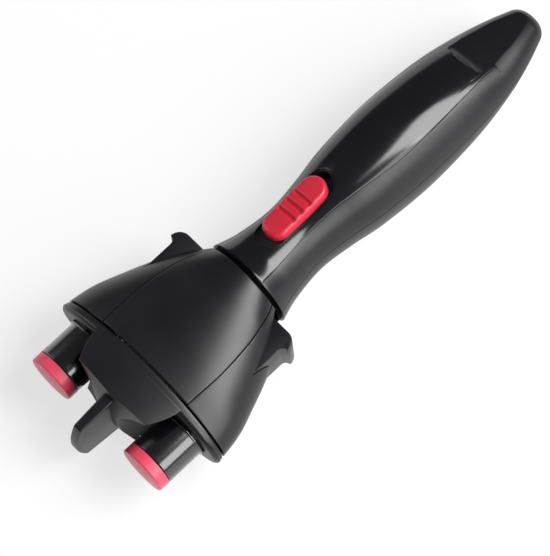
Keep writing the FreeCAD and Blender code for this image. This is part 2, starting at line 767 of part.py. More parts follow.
# ---- neck joint ---------------------------------------------------------------------------
bearing_room = min(handle_size(bearing_back)) - handle_wall - seat_gap
bearing = rod(bearing_back, bearing_front, bearing_room).cut(rod(-far, far, sleeve_radius + running_fit))
save("neck_bearing", bearing, True)
sleeve = rod(sleeve_end, handle_front + loose_gap, sleeve_radius)
sleeve = sleeve.fuse(rod(handle_front + loose_gap, 0.0, collar_radius))
flange_start = cover_lip_width + seat_gap
sleeve = sleeve.fuse(rod(0.0, flange_start, sleeve_neck_radius))
sleeve = sleeve.fuse(rod(flange_start, flange_start + flange_thickness, neck_radius - head_wall - seat_gap))
sleeve = sleeve.cut(rod(-far, far, shaft_radius + running_fit)).removeSplitter()
clip_seat_radius = sleeve_radius - clip_thickness
clip_groove = rod(clip_back, clip_front, far).cut(rod(-far, far, clip_seat_radius))
save("neck_sleeve", sleeve.cut(clip_groove))
clip = rod(clip_back + running_fit, clip_front - running_fit, clip_radius)
clip = clip.cut(rod(-far, far, clip_seat_radius))
clip = clip.cut(box(-far, far, -clip_seat_radius / 2, clip_seat_radius / 2, 0, far))
save("retaining_clip", clip)

# ---- head outline --------------------------------------------------------------------------
head_x = [0.0] + flare_x + [cap_face]
head_widths = [neck_radius] + flare_half_width + [rim_half_width]
head_heights = [neck_radius] + flare_half_height + [rim_half_height]


def head_size(x):
    """Half-width and half-height of the head at x, level in front of the front cap."""
    inside = min(max(x, 0.0), cap_face)
    return smooth(head_x, head_widths, inside), smooth(head_x, head_heights, inside)


cover_plan_x = [0.0] + cover_edge_x + [head_length]
cover_plan_y = [cover_edge_neck] + cover_edge_y + [cover_edge_rim]


def cover_edge(x):
    """Half-width of the top and bottom covers in plan."""
    return smooth(cover_plan_x, cover_plan_y, min(x, head_length))


# ---- head covers and cheeks ------------------------------------------------------------------
rim_end = head_length + 2.0 * rim_bow
shell = oval_body([0.0] + flare_x + [rim_end], head_size, 0.0)
shell = shell.cut(oval_body([cover_lip_width] + flare_x + [rim_end], head_size, head_wall))
shell = shell.cut(rod(-far, cover_lip_width, sleeve_neck_radius + seat_gap))
ledge_back = gear_plate_back - seat_gap - ledge_width
ledge_xs = [ledge_back, gear_plate_back - seat_gap]
ledge = oval_body(ledge_xs, head_size, head_wall / 2.0)
ledge = ledge.cut(oval_body(ledge_xs, head_size, head_wall + ledge_width))
barrel_room = head_module * (barrel_teeth / 2.0 + addendum) + loose_gap
for side in (1, -1):
    ledge = ledge.cut(rod(0.0, far, barrel_room, side * barrel_offset))
shell = shell.fuse(ledge)
shell = shell.cut(pin_z(head_length + rim_radius, 0.0, -far, far, rim_radius))

plan_xs = [-seam_gap] + cover_edge_x + [head_length / 2.0 + cover_edge_x[-1] / 2.0, rim_end]
cover_plan = plan_prism(lambda x: cover_edge(max(x, 0.0)) - seam_gap / 2.0, plan_xs, -far, far)
cheek_plan = plan_prism(lambda x: cover_edge(max(x, 0.0)) + seam_gap / 2.0, plan_xs, -far, far)
covers = shell.common(cover_plan)
cheeks = shell.cut(cheek_plan)
channel_front = lever_front + lever_travel + loose_gap
lever_crest_x = lever_rear_x + lever_shoulder_radius
lever_shoulder_y = lever_outer_y + lever_lip_height - lever_shoulder_radius
lever_lip_front = lever_crest_x + lever_lip_height
half_channel = lever_half_height + loose_gap
channel_side = lever_outer_y + loose_gap
inner_form = oval_body([0.0] + flare_x + [rim_end], head_size, head_wall / 2.0)
cover_screws = []
for name, side in (("head_top_cover", 1), ("head_bottom_cover", -1)):
    cover = covers.common(box(-far, far, -far, far, min(0, side * far), max(0, side * far)))
    for y in (-cover_screw_y, cover_screw_y):
        z0, z1 = sorted((side * seat_gap / 2.0, side * far))
        cover = cover.fuse(pin_z(cover_screw_x, y, z0, z1, cover_boss_radius).common(inner_form))
        head_z = cover_screw_sink - head_size(cover_screw_x)[1]
        cover = cover.cut(pin_z(cover_screw_x, y, -far, head_z + head_screw_head_height,
                                head_screw_head_radius + seat_gap))
        cover = cover.cut(pin_z(cover_screw_x, y, -far, cover_boss_radius, head_screw_radius))
        if side == -1:
            cover_screws.append(screw(cover_screw_x, y, head_z, cover_boss_radius - head_z, head_screw_radius,
                                      head_screw_head_radius, head_screw_head_height, (0, 0, 1)))
    save(name, biggest(cover))
save("cover_screws", Part.makeCompound(cover_screws))
for name, side in (("cheek_left", 1), ("cheek_right", -1)):
    channel_y = sorted((side * (lever_inner_y - loose_gap), side * channel_side))
    cheek = cheeks.common(box(-far, far, min(0, side * far), max(0, side * far), -far, far))
    cheek = cheek.cut(box(-far, channel_front, channel_y[0], channel_y[1], -half_channel, half_channel))
    cheek = cheek.cut(box(-far, lever_lip_front, min(0, side * far), max(0, side * far),
                          -half_channel, half_channel))
    save(name, biggest(cheek))

# ---- front cap with the divider's wings ---------------------------------------------------------
cap_shape = oval_body([cap_rear - rim_seam, cap_face], head_size, 0.0)
cap_shape = cap_shape.makeFillet(cap_edge_round, [e for e in cap_shape.Edges
                                                  if e.CenterOfMass.x > cap_face - touch])
behind_rim = pin_z(cap_rear + rim_radius, 0.0, -far, far, rim_radius)
cap_shape = cap_shape.common(behind_rim)
cap_room = oval_body([cap_rear - rim_seam, cap_face - cap_wall], head_size, cap_wall)
front_cap = cap_shape.cut(cap_room)
spigot_back = gear_plate_front + seat_gap
spigot_xs = [spigot_back, cap_face - cap_wall]
spigot = oval_body(spigot_xs, head_size, head_wall + seat_gap)
spigot = spigot.cut(oval_body(spigot_xs, head_size, head_wall + seat_gap + spigot_wall))
front_cap = front_cap.fuse(spigot)

wing_xs = [cap_rear + step for step in wing_edge_step]


def wing_edge(x):
    """Half-width of the wings in plan."""
    return smooth(wing_xs, wing_edge_y, x)


def beyond(point, direction):
    """Everything past the plane through point, on the side that direction leads to."""
    return Part.makeCylinder(far, far, V(*point), V(*direction))


wing_tip = wing_xs[-1] + wing_lip_reach
divider_front = wing_tip + wing_lip_reach
bowl_back = cap_face - cap_wall
bowl_slope = (bowl_mouth_radius - bowl_root_radius) / (wing_xs[-1] - cap_face)
bowl_far_radius = bowl_root_radius + bowl_slope * (divider_front - bowl_back)
divider = oval_body([cap_face - cap_wall, divider_front], head_size, 0.0)
divider = divider.common(plan_prism(wing_edge, wing_xs + [divider_front], -far, far))
for side in (1, -1):
    divider = divider.cut(Part.makeCone(bowl_root_radius, bowl_far_radius, divider_front - bowl_back,
                                        V(bowl_back, side * barrel_offset, 0), V(1, 0, 0)))
    sweep = wing_front_bow / wing_front_half_width
    side_box = box(0.0, far, min(0, side * far), max(0, side * far), -far, far)
    divider = divider.cut(beyond((wing_tip, 0, 0), (1, side * sweep, 0)).common(side_box))
    for level in (1, -1):
        lean = wing_lip_reach / wing_lip_drop
        slope = beyond((wing_xs[-1], 0, level * wing_front_half_height), (1, side * sweep, level * lean))
        divider = divider.cut(slope.common(side_box))
front_cap = front_cap.fuse(divider)

fin_back = cap_face - cap_wall


def fin_form(play):
    """The centre fin's blade, grown by play on every long side."""
    root_z = fin_root_half_height + play
    tip_z = fin_top_half_height + play
    corners = [V(fin_top_x, 0, tip_z), V(fin_back, 0, root_z), V(fin_back, 0, -root_z),
               V(fin_top_x, 0, -tip_z)]
    nose = Part.Arc(corners[3], V(fin_nose_x + play, 0, 0), corners[0]).toShape()
    sides = [Part.makeLine(a, b) for a, b in zip(corners, corners[1:])]
    face = Part.Face(Part.Wire(sides + [nose]))
    face.translate(V(0, -far / 2.0, 0))
    ends = [fin_back - end_play, fin_nose_x + end_play]

    def half_thickness(x):
        share = (x - fin_back) / (fin_nose_x - fin_back)
        return fin_root_half_thickness + (fin_tip_half_thickness - fin_root_half_thickness) * share + play

    return face.extrude(V(0, far, 0)).common(plan_prism(half_thickness, ends, -far, far))


fin = fin_form(0.0)
front_cap = front_cap.cut(fin_form(running_fit))
for side in (1, -1):
    front_cap = front_cap.cut(rod(0.0, far, barrel_radius + barrel_bore_gap, side * barrel_offset))
save("front_cap", biggest(front_cap))
fin_foot = box(fin_back - fin_foot_thickness, fin_back, -2.0 * fin_root_half_thickness,
               2.0 * fin_root_half_thickness, -fin_top_half_height, fin_top_half_height)
save("centre_fin", fin.fuse(fin_foot).removeSplitter())

# ---- gear frame --------------------------------------------------------------------------------------
gear_plate = oval_body([gear_plate_back, gear_plate_front], head_size, head_wall + seat_gap)
post_places = [(y, z) for y in (-post_y, post_y) for z in (-post_z, post_z)]
for y, z in post_places:
    gear_plate = gear_plate.cut(rod(0.0, far, head_screw_radius + running_fit, y, z))
gear_plate = gear_plate.cut(rod(0.0, far, shaft_radius + running_fit))
for side in (1, -1):
    gear_plate = gear_plate.cut(rod(0.0, far, barrel_radius + running_fit, side * barrel_offset))
save("gear_plate", gear_plate)

frame_plate = oval_body([frame_back, frame_front], lambda x: (frame_half_width, frame_half_height), 0.0)
head_screws = []
for y, z in post_places:
    frame_plate = frame_plate.fuse(rod(frame_front, gear_plate_back, post_radius, y, z))
for y, z in post_places:
    head_screws.append(screw(gear_plate_front + head_screw_head_height, y, z, frame_front - frame_back
                             + gear_width, head_screw_radius, head_screw_head_radius,
                             head_screw_head_height, (-1, 0, 0)))
    frame_plate = frame_plate.cut(rod(frame_back, far, head_screw_radius, y, z))
frame_plate = frame_plate.cut(rod(0.0, far, shaft_radius + running_fit))
for side in (1, -1):
    frame_plate = frame_plate.cut(rod(frame_front - hub_seat_depth, far, barrel_hub_radius + running_fit,
                                      side * barrel_offset))
    frame_plate = frame_plate.cut(rod(0.0, far, rod_radius + loose_gap, side * barrel_offset))
save("frame_plate", frame_plate.removeSplitter())
save("head_screws", Part.makeCompound(head_screws))

# ---- drive of the barrels ------------------------------------------------------------------------------
shaft = rod(hub_front - hub_socket_depth + end_play, gear_plate_front, shaft_radius)
save("central_shaft", shaft)
central_gear = gear(gear_back, gear_front, central_teeth, head_module).cut(rod(0.0, far, shaft_radius))
for k in range(gear_hole_count):
    angle = 2.0 * math.pi * (k + 0.5) / gear_hole_count
    central_gear = central_gear.cut(rod(0.0, far, gear_hole_radius, gear_hole_offset * math.cos(angle),
                                        gear_hole_offset * math.sin(angle)))
save("central_gear", central_gear)

# ---- barrels, hooks and levers ----------------------------------------------------------------------------
hub_back = frame_front - hub_seat_depth + end_play / 2.0
disc_back = barrel_front_x + end_play
tongue_back = disc_back - tongue_length
dome_radius = (barrel_radius ** 2 + cap_dome ** 2) / (2.0 * cap_dome)


def d_bar(x0, x1, y, play):
    """Round bar with one flat, grown by play."""
    flat = box(x0, x1, -far, far, -far, rod_flat + play)
    return rod(x0, x1, rod_radius + play, y).common(flat)


def strip(x0, x1, y, play):
    """The hook's curved tongue on the barrel's -Y side, or with play the slot that it runs in."""
    outer = rod(x0 - play, x1, barrel_radius + play, y)
    inner = rod(0.0, far, barrel_radius - tongue_thickness - play, y)
    half_width = tongue_width / 2.0 + play
    return outer.cut(inner).common(box(0.0, far, -far, y, -half_width, half_width))


for name, side in (("left", 1), ("right", -1)):
    y = side * barrel_offset
    turn = 0.0 if side == 1 else math.pi
    barrel = gear(gear_back, gear_front + end_play, barrel_teeth, head_module, y, 0.0, turn)
    barrel = barrel.fuse(rod(gear_front + end_play, barrel_front_x, barrel_radius, y))
    barrel = barrel.fuse(rod(hub_back, gear_back, barrel_hub_radius, y))
    bore = barrel_radius - barrel_wall
    barrel = barrel.cut(rod(gear_back + barrel_wall, barrel_front_x - barrel_wall, bore, y))
    barrel = barrel.cut(rod(0.0, gear_front, rod_radius + running_fit, y))
    barrel = barrel.cut(d_bar(gear_front, far, y, running_fit))
    barrel = barrel.cut(strip(tongue_back, far, y, loose_gap))
    save("barrel_" + name, biggest(barrel))
    ring_back = cap_face + loose_gap
    ring = rod(ring_back, ring_back + barrel_collar_width, barrel_collar_radius, y)
    save("barrel_ring_" + name, ring.cut(rod(0.0, far, barrel_radius, y)))

    disc = rod(disc_back, hook_front, barrel_radius, y)
    disc = disc.common(Part.makeSphere(dome_radius, V(hook_front - dome_radius, y, 0)))
    disc = disc.makeFillet(cap_edge_fillet, [e for e in disc.Edges
                                             if disc_back + cap_dome < e.CenterOfMass.x < hook_front])
    hook = disc.fuse(strip(tongue_back, disc_back + end_play, y, 0.0))
    hook = hook.cut(d_bar(0.0, disc_back + rod_depth_in_cap, y, 0.0))
    save("hook_cap_" + name, biggest(hook))
    bar = d_bar(flange_front - end_play, disc_back + rod_depth_in_cap, y, 0.0)
    bar = bar.fuse(rod(flange_back, flange_front, rod_flange_radius, y))
    save("hook_rod_" + name, bar.removeSplitter())

    low, high = sorted((side * lever_outer_y, side * lever_inner_y))
    block = box(lever_crest_x, lever_front, lever_inner_y, lever_outer_y, -lever_half_height,
                lever_half_height)
    shoulder = box(lever_rear_x, lever_crest_x, lever_inner_y, lever_shoulder_y, -lever_half_height,
                   lever_half_height)
    crest = pin_z(lever_crest_x, lever_shoulder_y, -lever_half_height, lever_half_height,
                  lever_shoulder_radius)
    crest = crest.common(box(-far, lever_crest_x, lever_shoulder_y, far, -far, far))
    lip = box(lever_crest_x, lever_lip_front, lever_outer_y, lever_outer_y + lever_lip_height,
              -lever_half_height, lever_half_height)
    lip = lip.cut(pin_z(lever_lip_front, lever_outer_y + lever_lip_height, -far, far, lever_lip_height))
    block_room = box(lever_rear_x + lever_wall, lever_block_end_x, -far, lever_outer_y - lever_wall,
                     lever_wall - lever_half_height, lever_half_height - lever_wall)
    lever = block.fuse([shoulder, crest, lip]).removeSplitter()
    rims = [e for e in lever.Edges if abs(e.CenterOfMass.z) > lever_half_height - end_play
            and e.CenterOfMass.y > lever_outer_y - end_play]
    lever = lever.makeFillet(lever_edge_fillet, rims)
    lever = lever.cut(block_room)
    if side == -1:
        lever = lever.mirror(V(0, 0, 0), V(0, 1, 0))
    lever = lever.cut(box(flange_back - end_play, flange_front + end_play, low - end_play, high + end_play,
                          -rod_flange_radius - loose_gap, rod_flange_radius + loose_gap))
    neck = rod(flange_front, far, rod_radius + loose_gap, y)
    way_in = box(flange_front, far, min(y, side * far), max(y, side * far), -rod_radius - loose_gap,
                 rod_radius + loose_gap)
    save("lever_" + name, biggest(lever.cut(neck).cut(way_in)))
    save("return_spring_" + name, coil(lever_front + seat_gap, frame_back - seat_gap, return_spring_radius,
                                       spring_turns, y, 0))
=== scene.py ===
# %% [markdown]
# A battery hair braider, dressed for its portrait.
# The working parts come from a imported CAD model, which stays where it is.
# This file gives them smooth outer skins and finishes, and then sets up a
# small studio: a pale table, soft lamps and a camera.

# %% Load the frame
import json
import math

import bmesh
import bpy
import numpy as np
from mathutils import Matrix, Vector

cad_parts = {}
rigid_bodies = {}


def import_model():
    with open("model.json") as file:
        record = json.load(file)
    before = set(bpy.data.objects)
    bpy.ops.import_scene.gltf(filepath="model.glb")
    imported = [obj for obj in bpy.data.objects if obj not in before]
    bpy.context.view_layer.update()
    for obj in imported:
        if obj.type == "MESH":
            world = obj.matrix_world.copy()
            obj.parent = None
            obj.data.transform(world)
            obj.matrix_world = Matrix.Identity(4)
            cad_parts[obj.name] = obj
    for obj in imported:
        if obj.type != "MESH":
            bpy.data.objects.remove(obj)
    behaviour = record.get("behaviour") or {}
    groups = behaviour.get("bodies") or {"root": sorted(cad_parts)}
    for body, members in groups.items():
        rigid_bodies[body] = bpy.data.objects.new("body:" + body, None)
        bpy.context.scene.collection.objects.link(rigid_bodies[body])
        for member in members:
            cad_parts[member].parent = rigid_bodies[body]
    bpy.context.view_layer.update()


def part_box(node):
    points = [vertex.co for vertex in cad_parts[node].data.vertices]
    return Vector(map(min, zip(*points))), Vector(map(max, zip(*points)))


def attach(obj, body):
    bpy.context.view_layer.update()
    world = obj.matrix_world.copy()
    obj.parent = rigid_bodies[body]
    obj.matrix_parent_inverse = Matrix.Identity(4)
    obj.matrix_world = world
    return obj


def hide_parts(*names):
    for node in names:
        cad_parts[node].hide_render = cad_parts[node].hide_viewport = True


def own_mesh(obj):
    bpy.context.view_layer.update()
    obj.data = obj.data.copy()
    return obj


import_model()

# %% [markdown]
# The tool is drawn in millimetres along its own axis: x runs from the rear
# edge of the head towards the hooks, z is up.  Two numbers carry that drawing
# into the frame: where the head starts, and how high the axis lies.  The
# handle is turned a little about the axis, so its pieces take a roll as well.

# %% From the drawing to the frame
MM = 0.001
head_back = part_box("head_top_cover")[0].x
gear_low, gear_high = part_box("central_gear")
axis_z = (gear_low.z + gear_high.z) / 2.0
handle_roll = math.radians(15.0)


def placed(points, roll=0.0):
    """Drawing points (mm) as frame points (m): turned by roll about the axis, then shifted."""
    points = np.asarray(points, float)
    x, y, z = points[..., 0], points[..., 1], points[..., 2]
    turned_y = y * math.cos(roll) - z * math.sin(roll)
    turned_z = y * math.sin(roll) + z * math.cos(roll)
    return np.stack([x * MM + head_back, turned_y * MM, turned_z * MM + axis_z], axis=-1)


print("head starts at", round(head_back, 4), "axis height", round(axis_z, 4))

# %% [markdown]
# Every skin starts as a grid of points.  A helper joins neighbours with
# four-sided faces in one go, turns the faces outwards, and hands back a mesh.


# %% Grids to meshes
def grid_faces(rows, columns, wrap):
    """Corner numbers of the quads of a rows x columns grid; wrap joins the last column to the first."""
    reach = columns if wrap else columns - 1
    i, j = np.meshgrid(np.arange(rows - 1), np.arange(reach), indexing="ij")
    after = (j + 1) % columns
    quads = [i * columns + j, i * columns + after, (i + 1) * columns + after, (i + 1) * columns + j]
    return np.stack(quads, axis=-1).reshape(-1, 4)


def outward(points, faces, inside):
    """The faces, reversed if most of their area looks towards the inside point or points."""
    corners = points[faces]
    normal = np.cross(corners[:, 2] - corners[:, 0], corners[:, 3] - corners[:, 1])
    away = corners.mean(axis=1) - inside
    return faces if (normal * away).sum() > 0 else faces[:, ::-1]


def grid_mesh(name, grid, roll=0.0, wrap=False, inside=None, caps=False):
    """A mesh on a grid of drawing points (rows x columns x 3)."""
    points = grid.reshape(-1, 3)
    faces = grid_faces(grid.shape[0], grid.shape[1], wrap)
    if inside is None:
        middle = points[faces].mean(axis=1)
        inside = middle * np.array([1.0, 0.0, 0.0])
    faces = outward(points, faces, inside)
    mesh = bpy.data.meshes.new(name)
    rings = []
    if caps:
        last = (grid.shape[0] - 1) * grid.shape[1]
        rings = [list(range(grid.shape[1])), list(range(last, last + grid.shape[1]))]
    mesh.from_pydata(placed(points, roll).tolist(), [], faces.tolist() + rings)
    tidy = bmesh.new()
    tidy.from_mesh(mesh)
    bmesh.ops.remove_doubles(tidy, verts=tidy.verts, dist=1e-6)
    bmesh.ops.dissolve_degenerate(tidy, edges=tidy.edges, dist=1e-7)
    if caps:
        bmesh.ops.recalc_face_normals(tidy, faces=tidy.faces)
    tidy.to_mesh(mesh)
    tidy.free()
    return mesh


def spline(x, stations, values):
    """Value at x of the smooth curve through the stations: cubic spans with averaged slopes."""
    order = np.argsort(stations)
    sx, sv = np.asarray(stations, float)[order], np.asarray(values, float)[order]
    low, high = np.r_[0, np.arange(len(sx) - 1)], np.r_[np.arange(1, len(sx)), len(sx) - 1]
    slope = (sv[high] - sv[low]) / (sx[high] - sx[low])
    x = np.clip(x, sx[0], sx[-1])
    k = np.clip(np.searchsorted(sx, x) - 1, 0, len(sx) - 2)
    span = sx[k + 1] - sx[k]
    t = (x - sx[k]) / span
    return ((2 * t**3 - 3 * t**2 + 1) * sv[k] + (t**3 - 2 * t**2 + t) * span * slope[k]
            + (3 * t**2 - 2 * t**3) * sv[k + 1] + (t**3 - t**2) * span * slope[k + 1])


def ring_at(x, half_width, half_height, angles):
    """Points of an oval across the axis: y = width * cos, z = height * sin of the angle."""
    x, half_width, half_height = np.broadcast_arrays(x, half_width, half_height)
    shape = np.broadcast_shapes(x.shape, angles.shape)
    return np.stack([np.broadcast_to(x, shape), half_width * np.cos(angles),
                     half_height * np.sin(angles)], axis=-1)


# %% [markdown]
# A moulded shell is a skin with a wall, holes for what passes through it, and
# softened edges that catch the light.  Solidify gives the wall, Boolean cuts
# the holes, Bevel rounds the edges.  The result is baked into the mesh, so
# nothing later depends on the order of the modifiers.


# %% Walls, holes and soft edges
smooth_angle = math.radians(32.0)
soft_edge = 0.25


def baked(thing):
    """Replace the object's mesh by what its modifiers make of it."""
    graph = bpy.context.evaluated_depsgraph_get()
    made = bpy.data.meshes.new_from_object(thing.evaluated_get(graph))
    thing.modifiers.clear()
    thing.data = made


def cut_by(thing, cutter_mesh):
    """Cut the object with a closed mesh."""
    cutter = bpy.data.objects.new("cutter", cutter_mesh)
    bpy.context.scene.collection.objects.link(cutter)
    tool = thing.modifiers.new("cut", "BOOLEAN")
    tool.operation = "DIFFERENCE"
    tool.solver = "EXACT"
    tool.object = cutter
    baked(thing)
    bpy.data.objects.remove(cutter)


def moulded(name, mesh, body, nodes=(), wall=0.0, cuts=(), edge=0.0, steps=3):
    """A finished piece on a body: wall inwards, cuts, rounded edges, smooth shading."""
    thing = bpy.data.objects.new(name, mesh)
    bpy.context.scene.collection.objects.link(thing)
    if wall:
        solid = thing.modifiers.new("wall", "SOLIDIFY")
        solid.thickness = wall * MM
        solid.offset = -1.0
        solid.use_even_offset = False
        baked(thing)
    for cutter in cuts:
        cut_by(thing, cutter)
    if edge:
        bevel = thing.modifiers.new("edge", "BEVEL")
        bevel.width = edge * MM
        bevel.segments = steps
        bevel.limit_method = "ANGLE"
        bevel.angle_limit = smooth_angle
        bevel.harden_normals = False
        baked(thing)
    thing.data.shade_smooth()
    thing.data.set_sharp_from_angle(angle=smooth_angle)
    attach(thing, body)
    if nodes:
        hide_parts(*nodes)
    print(name, len(thing.data.polygons), "faces")
    return thing


# %% Simple cutting shapes
far = 120.0


def block(x0, x1, y0, y1, z0, z1, roll=0.0):
    """A closed box mesh between two corners."""
    y = np.array([y0, y1, y1, y0])
    z = np.array([z0, z0, z1, z1])
    ends = [np.stack([np.full(4, x), y, z], axis=-1) for x in (x0, x1)]
    return grid_mesh("block", np.array(ends), roll, wrap=True, caps=True)


def bar(axis, radius, start, end, centre, roll=0.0, turns=96, end_radius=None):
    """A closed round bar along the drawing's x, y or z axis through centre, or a cone to end_radius."""
    angles = np.linspace(0.0, 2.0 * np.pi, turns, endpoint=False)
    ends = []
    for place, size in ((start, radius), (end, end_radius or radius)):
        points = np.zeros((turns, 3))
        across = [k for k in range(3) if k != axis]
        points[:, axis] = place
        points[:, across[0]] = centre[0] + size * np.cos(angles)
        points[:, across[1]] = centre[1] + size * np.sin(angles)
        ends.append(points)
    return grid_mesh("bar", np.array(ends), roll, wrap=True, caps=True)


def stadium_outline(half_length, half_width, count=24):
    """Points round a slot shape: each half circle and each straight side takes count of them."""
    reach = half_length - half_width
    quarter = np.pi / 2.0
    angles = np.linspace(-quarter, quarter, count, endpoint=False)
    along = np.linspace(reach, -reach, count, endpoint=False)
    cap = np.column_stack([reach + half_width * np.cos(angles), half_width * np.sin(angles)])
    run = np.column_stack([along, np.full(count, half_width)])
    return np.concatenate([cap, run, -cap, -run])


def stadium_post(x, half_length, half_width, z0, z1, roll=0.0):
    """A closed upright prism on a stadium outline."""
    flat = stadium_outline(half_length, half_width)
    ends = [np.column_stack([flat[:, 0] + x, flat[:, 1], np.full(len(flat), z)]) for z in (z0, z1)]
    return grid_mesh("stadium", np.array(ends), roll, wrap=True, inside=np.array([x, 0.0, 0.0]), caps=True)


def beyond(point, direction):
    """A big closed block whose near face passes through point, square to direction."""
    ahead = Vector(direction).normalized()
    side = ahead.orthogonal().normalized()
    other = ahead.cross(side)
    corner = [(-1, -1), (1, -1), (1, 1), (-1, 1)]
    rows = []
    for depth in (0.0, far):
        rows.append([list(Vector(point) + side * (a * far) + other * (b * far) + ahead * depth)
                     for a, b in corner])
    rows = np.array(rows)
    return grid_mesh("beyond", rows, wrap=True, inside=rows.reshape(-1, 3).mean(axis=0), caps=True)


# %% [markdown]
# The handle is a row of ovals.  Its half-widths and half-heights were taken
# where the shape changes: the flare at the neck, the waist under the switch,
# the swell, the full grip, and the taper to the blunt end.

# %% The handle's form
handle_front = -2.0
handle_end = -154.75
handle_stations = [-2.0, -10.9, -26.6, -41.9, -55.95, -78.65, -98.65, -114.15, -129.65, -141.65, -154.75]
handle_widths = [19.4, 16.7, 14.35, 15.8, 18.2, 19.75, 19.5, 18.4, 15.8, 12.1, 6.9]
handle_heights = [19.4, 17.2, 16.6, 18.3, 20.5, 21.9, 20.0, 16.7, 11.9, 9.4, 5.9]
end_round = 4.0
panel_tail = -127.65
tail_step = 0.02
handle_wall = 1.8
seam = 0.3


def handle_size(x):
    """Half-width and half-height at x; the last few millimetres are rounded off as a quarter circle."""
    depth = np.clip(x - handle_end, 0.0, end_round)
    inset = end_round - np.sqrt(end_round**2 - (end_round - depth) ** 2)
    width, height = spline(x, handle_stations, handle_widths), spline(x, handle_stations, handle_heights)
    return width - inset, height - inset


def handle_rows(count=150):
    """Places along the handle, closer together at the blunt end, and how far each ring is drawn in."""
    lead_in = handle_end + end_round * (1.0 - np.cos(np.linspace(0.0, np.pi / 2.0, 12)))
    main = np.linspace(lead_in[-1], handle_front, count)[1:]
    along = np.sort(np.r_[lead_in, main, panel_tail, panel_tail - tail_step])
    return np.r_[np.full(4, handle_end), along], np.r_[np.linspace(0.02, 0.8, 4), np.ones(len(along))]


print("handle half-size at the waist", handle_size(np.array([-26.6])))

# %% [markdown]
# The top of the handle carries a glossy panel in a shallow recess, and its
# tail is scooped to a flat.  The scoop is a height limit along x: a slope up
# from the end, then a wall that rises ever faster, as a power curve.  Where
# the oval would pass that limit the surface follows the limit instead, and
# the grid's columns are led along that crease, so that the edge stays clean.

# %% The scoop and the panel's outline
scoop_top = -118.55
scoop_floor = -125.65
scoop_floor_height = 10.6
scoop_slope = 0.16
scoop_power = 2.6
panel_stations = [-2.0, -12.5, -26.5, -41.0, -55.0, -73.1, -91.2, -109.8, -122.0]
panel_widths = [12.6, 10.7, 9.2, 9.8, 12.1, 14.3, 14.2, 12.4, 10.4]
panel_thickness = 1.0
panel_front = handle_front - 0.35
slot_middle = -31.9


def scoop_height(x):
    """Height limit at x: a straight slope, then floor + rise * share ** power up to the panel."""
    top = spline(np.array(scoop_top), handle_stations, handle_heights)
    share = np.clip((x - scoop_floor) / (scoop_top - scoop_floor), 0.0, 1.0)
    slope = scoop_floor_height + np.minimum(x - scoop_floor, 0.0) * scoop_slope
    height = slope + (top - scoop_floor_height) * share**scoop_power
    return np.where(x > scoop_top, far, height)


def panel_edge(x):
    """Half-width of the glossy panel at x."""
    return spline(x, panel_stations, panel_widths)


# %% Top shell
def top_shell_grid():
    """Side bands as ovals up to the edge angle; between them the recess floor or the scoop, by y."""
    x, shrink = handle_rows()
    width, height = handle_size(x)
    width, height = width * shrink, height * shrink
    limit = scoop_height(x)
    by_panel = np.arccos(np.clip((panel_edge(x) + seam / 2.0) / np.maximum(width, 1e-6), -1.0, 1.0))
    by_scoop = np.arcsin(np.clip(limit / np.maximum(height, 1e-6), 0.0, 1.0))
    past = x < panel_tail - tail_step / 2.0
    edge = np.where(past, by_scoop, np.minimum(by_panel, by_scoop))
    start = np.arcsin(np.clip(seam / 2.0 / np.maximum(height, 1.0), 0.0, 1.0))
    share = np.linspace(0.0, 1.0, 22)
    angles = start[:, None] + (edge - start)[:, None] * share
    near = ring_at(x[:, None], width[:, None], height[:, None], angles)
    near[..., 2] = np.minimum(near[..., 2], limit[:, None])
    edge_y = width * np.cos(edge)
    across = np.linspace(1.0, -1.0, 61)
    y = edge_y[:, None] * across
    oval_z = height[:, None] * np.sqrt(np.clip(1.0 - (y / np.maximum(width[:, None], 1e-6)) ** 2, 0.0, 1.0))
    sunk = np.where(past[:, None], 0.0, panel_thickness)
    floor = np.where(oval_z >= limit[:, None] - 1e-6, limit[:, None], oval_z - sunk)
    middle = np.stack([np.broadcast_to(x[:, None], y.shape), y, floor], axis=-1)
    opposite = near[:, ::-1] * np.array([1.0, -1.0, 1.0])
    return np.concatenate([near, middle, opposite], axis=1)


slot_hole = dict(x=slot_middle, half_length=19.35, half_width=6.55, z0=8.0, z1=far, roll=handle_roll)
moulded("top_shell", grid_mesh("top_shell", top_shell_grid(), handle_roll), "handle", ["handle_top_shell"],
        wall=handle_wall, edge=soft_edge, cuts=[stadium_post(**slot_hole)])


# %% Glossy panel
def panel_grid():
    """Columns share the width evenly; each runs from where the oval meets the scoop to the neck."""
    across = np.linspace(-1.0, 1.0, 57)
    tail = np.linspace(panel_tail, scoop_top, 400)
    width, height = handle_size(tail)
    reach = across[:, None] * panel_edge(tail)
    over = height * np.sqrt(np.clip(1.0 - (reach / width) ** 2, 0.0, 1.0)) - scoop_height(tail)
    first = np.argmax(over < 0.0, axis=1)
    first = np.where((over < 0.0).any(axis=1), np.maximum(first, 1), len(tail) - 1)
    here = np.arange(len(across))
    before, after = over[here, first - 1], over[here, first]
    share = np.clip(before / np.where(before - after == 0.0, 1.0, before - after), 0.0, 1.0)
    start = tail[first - 1] + share * (tail[1] - tail[0])
    along = np.linspace(0.0, 1.0, 150)[:, None]
    x = start + (panel_front - start) * along
    y = across * panel_edge(x)
    width, height = handle_size(x)
    return np.stack([x, y, height * np.sqrt(1.0 - (y / width) ** 2)], axis=-1)


panel_edge_round = 0.22
moulded("top_panel", grid_mesh("top_panel", panel_grid(), handle_roll), "handle", ["handle_top_panel"],
        wall=panel_thickness, edge=panel_edge_round, cuts=[stadium_post(**slot_hole)])

# %% [markdown]
# The lower half of the handle is one plain skin from seam to seam.  The
# battery door is cut out of it and made from the same form, a little smaller,
# with three finger grooves across it.

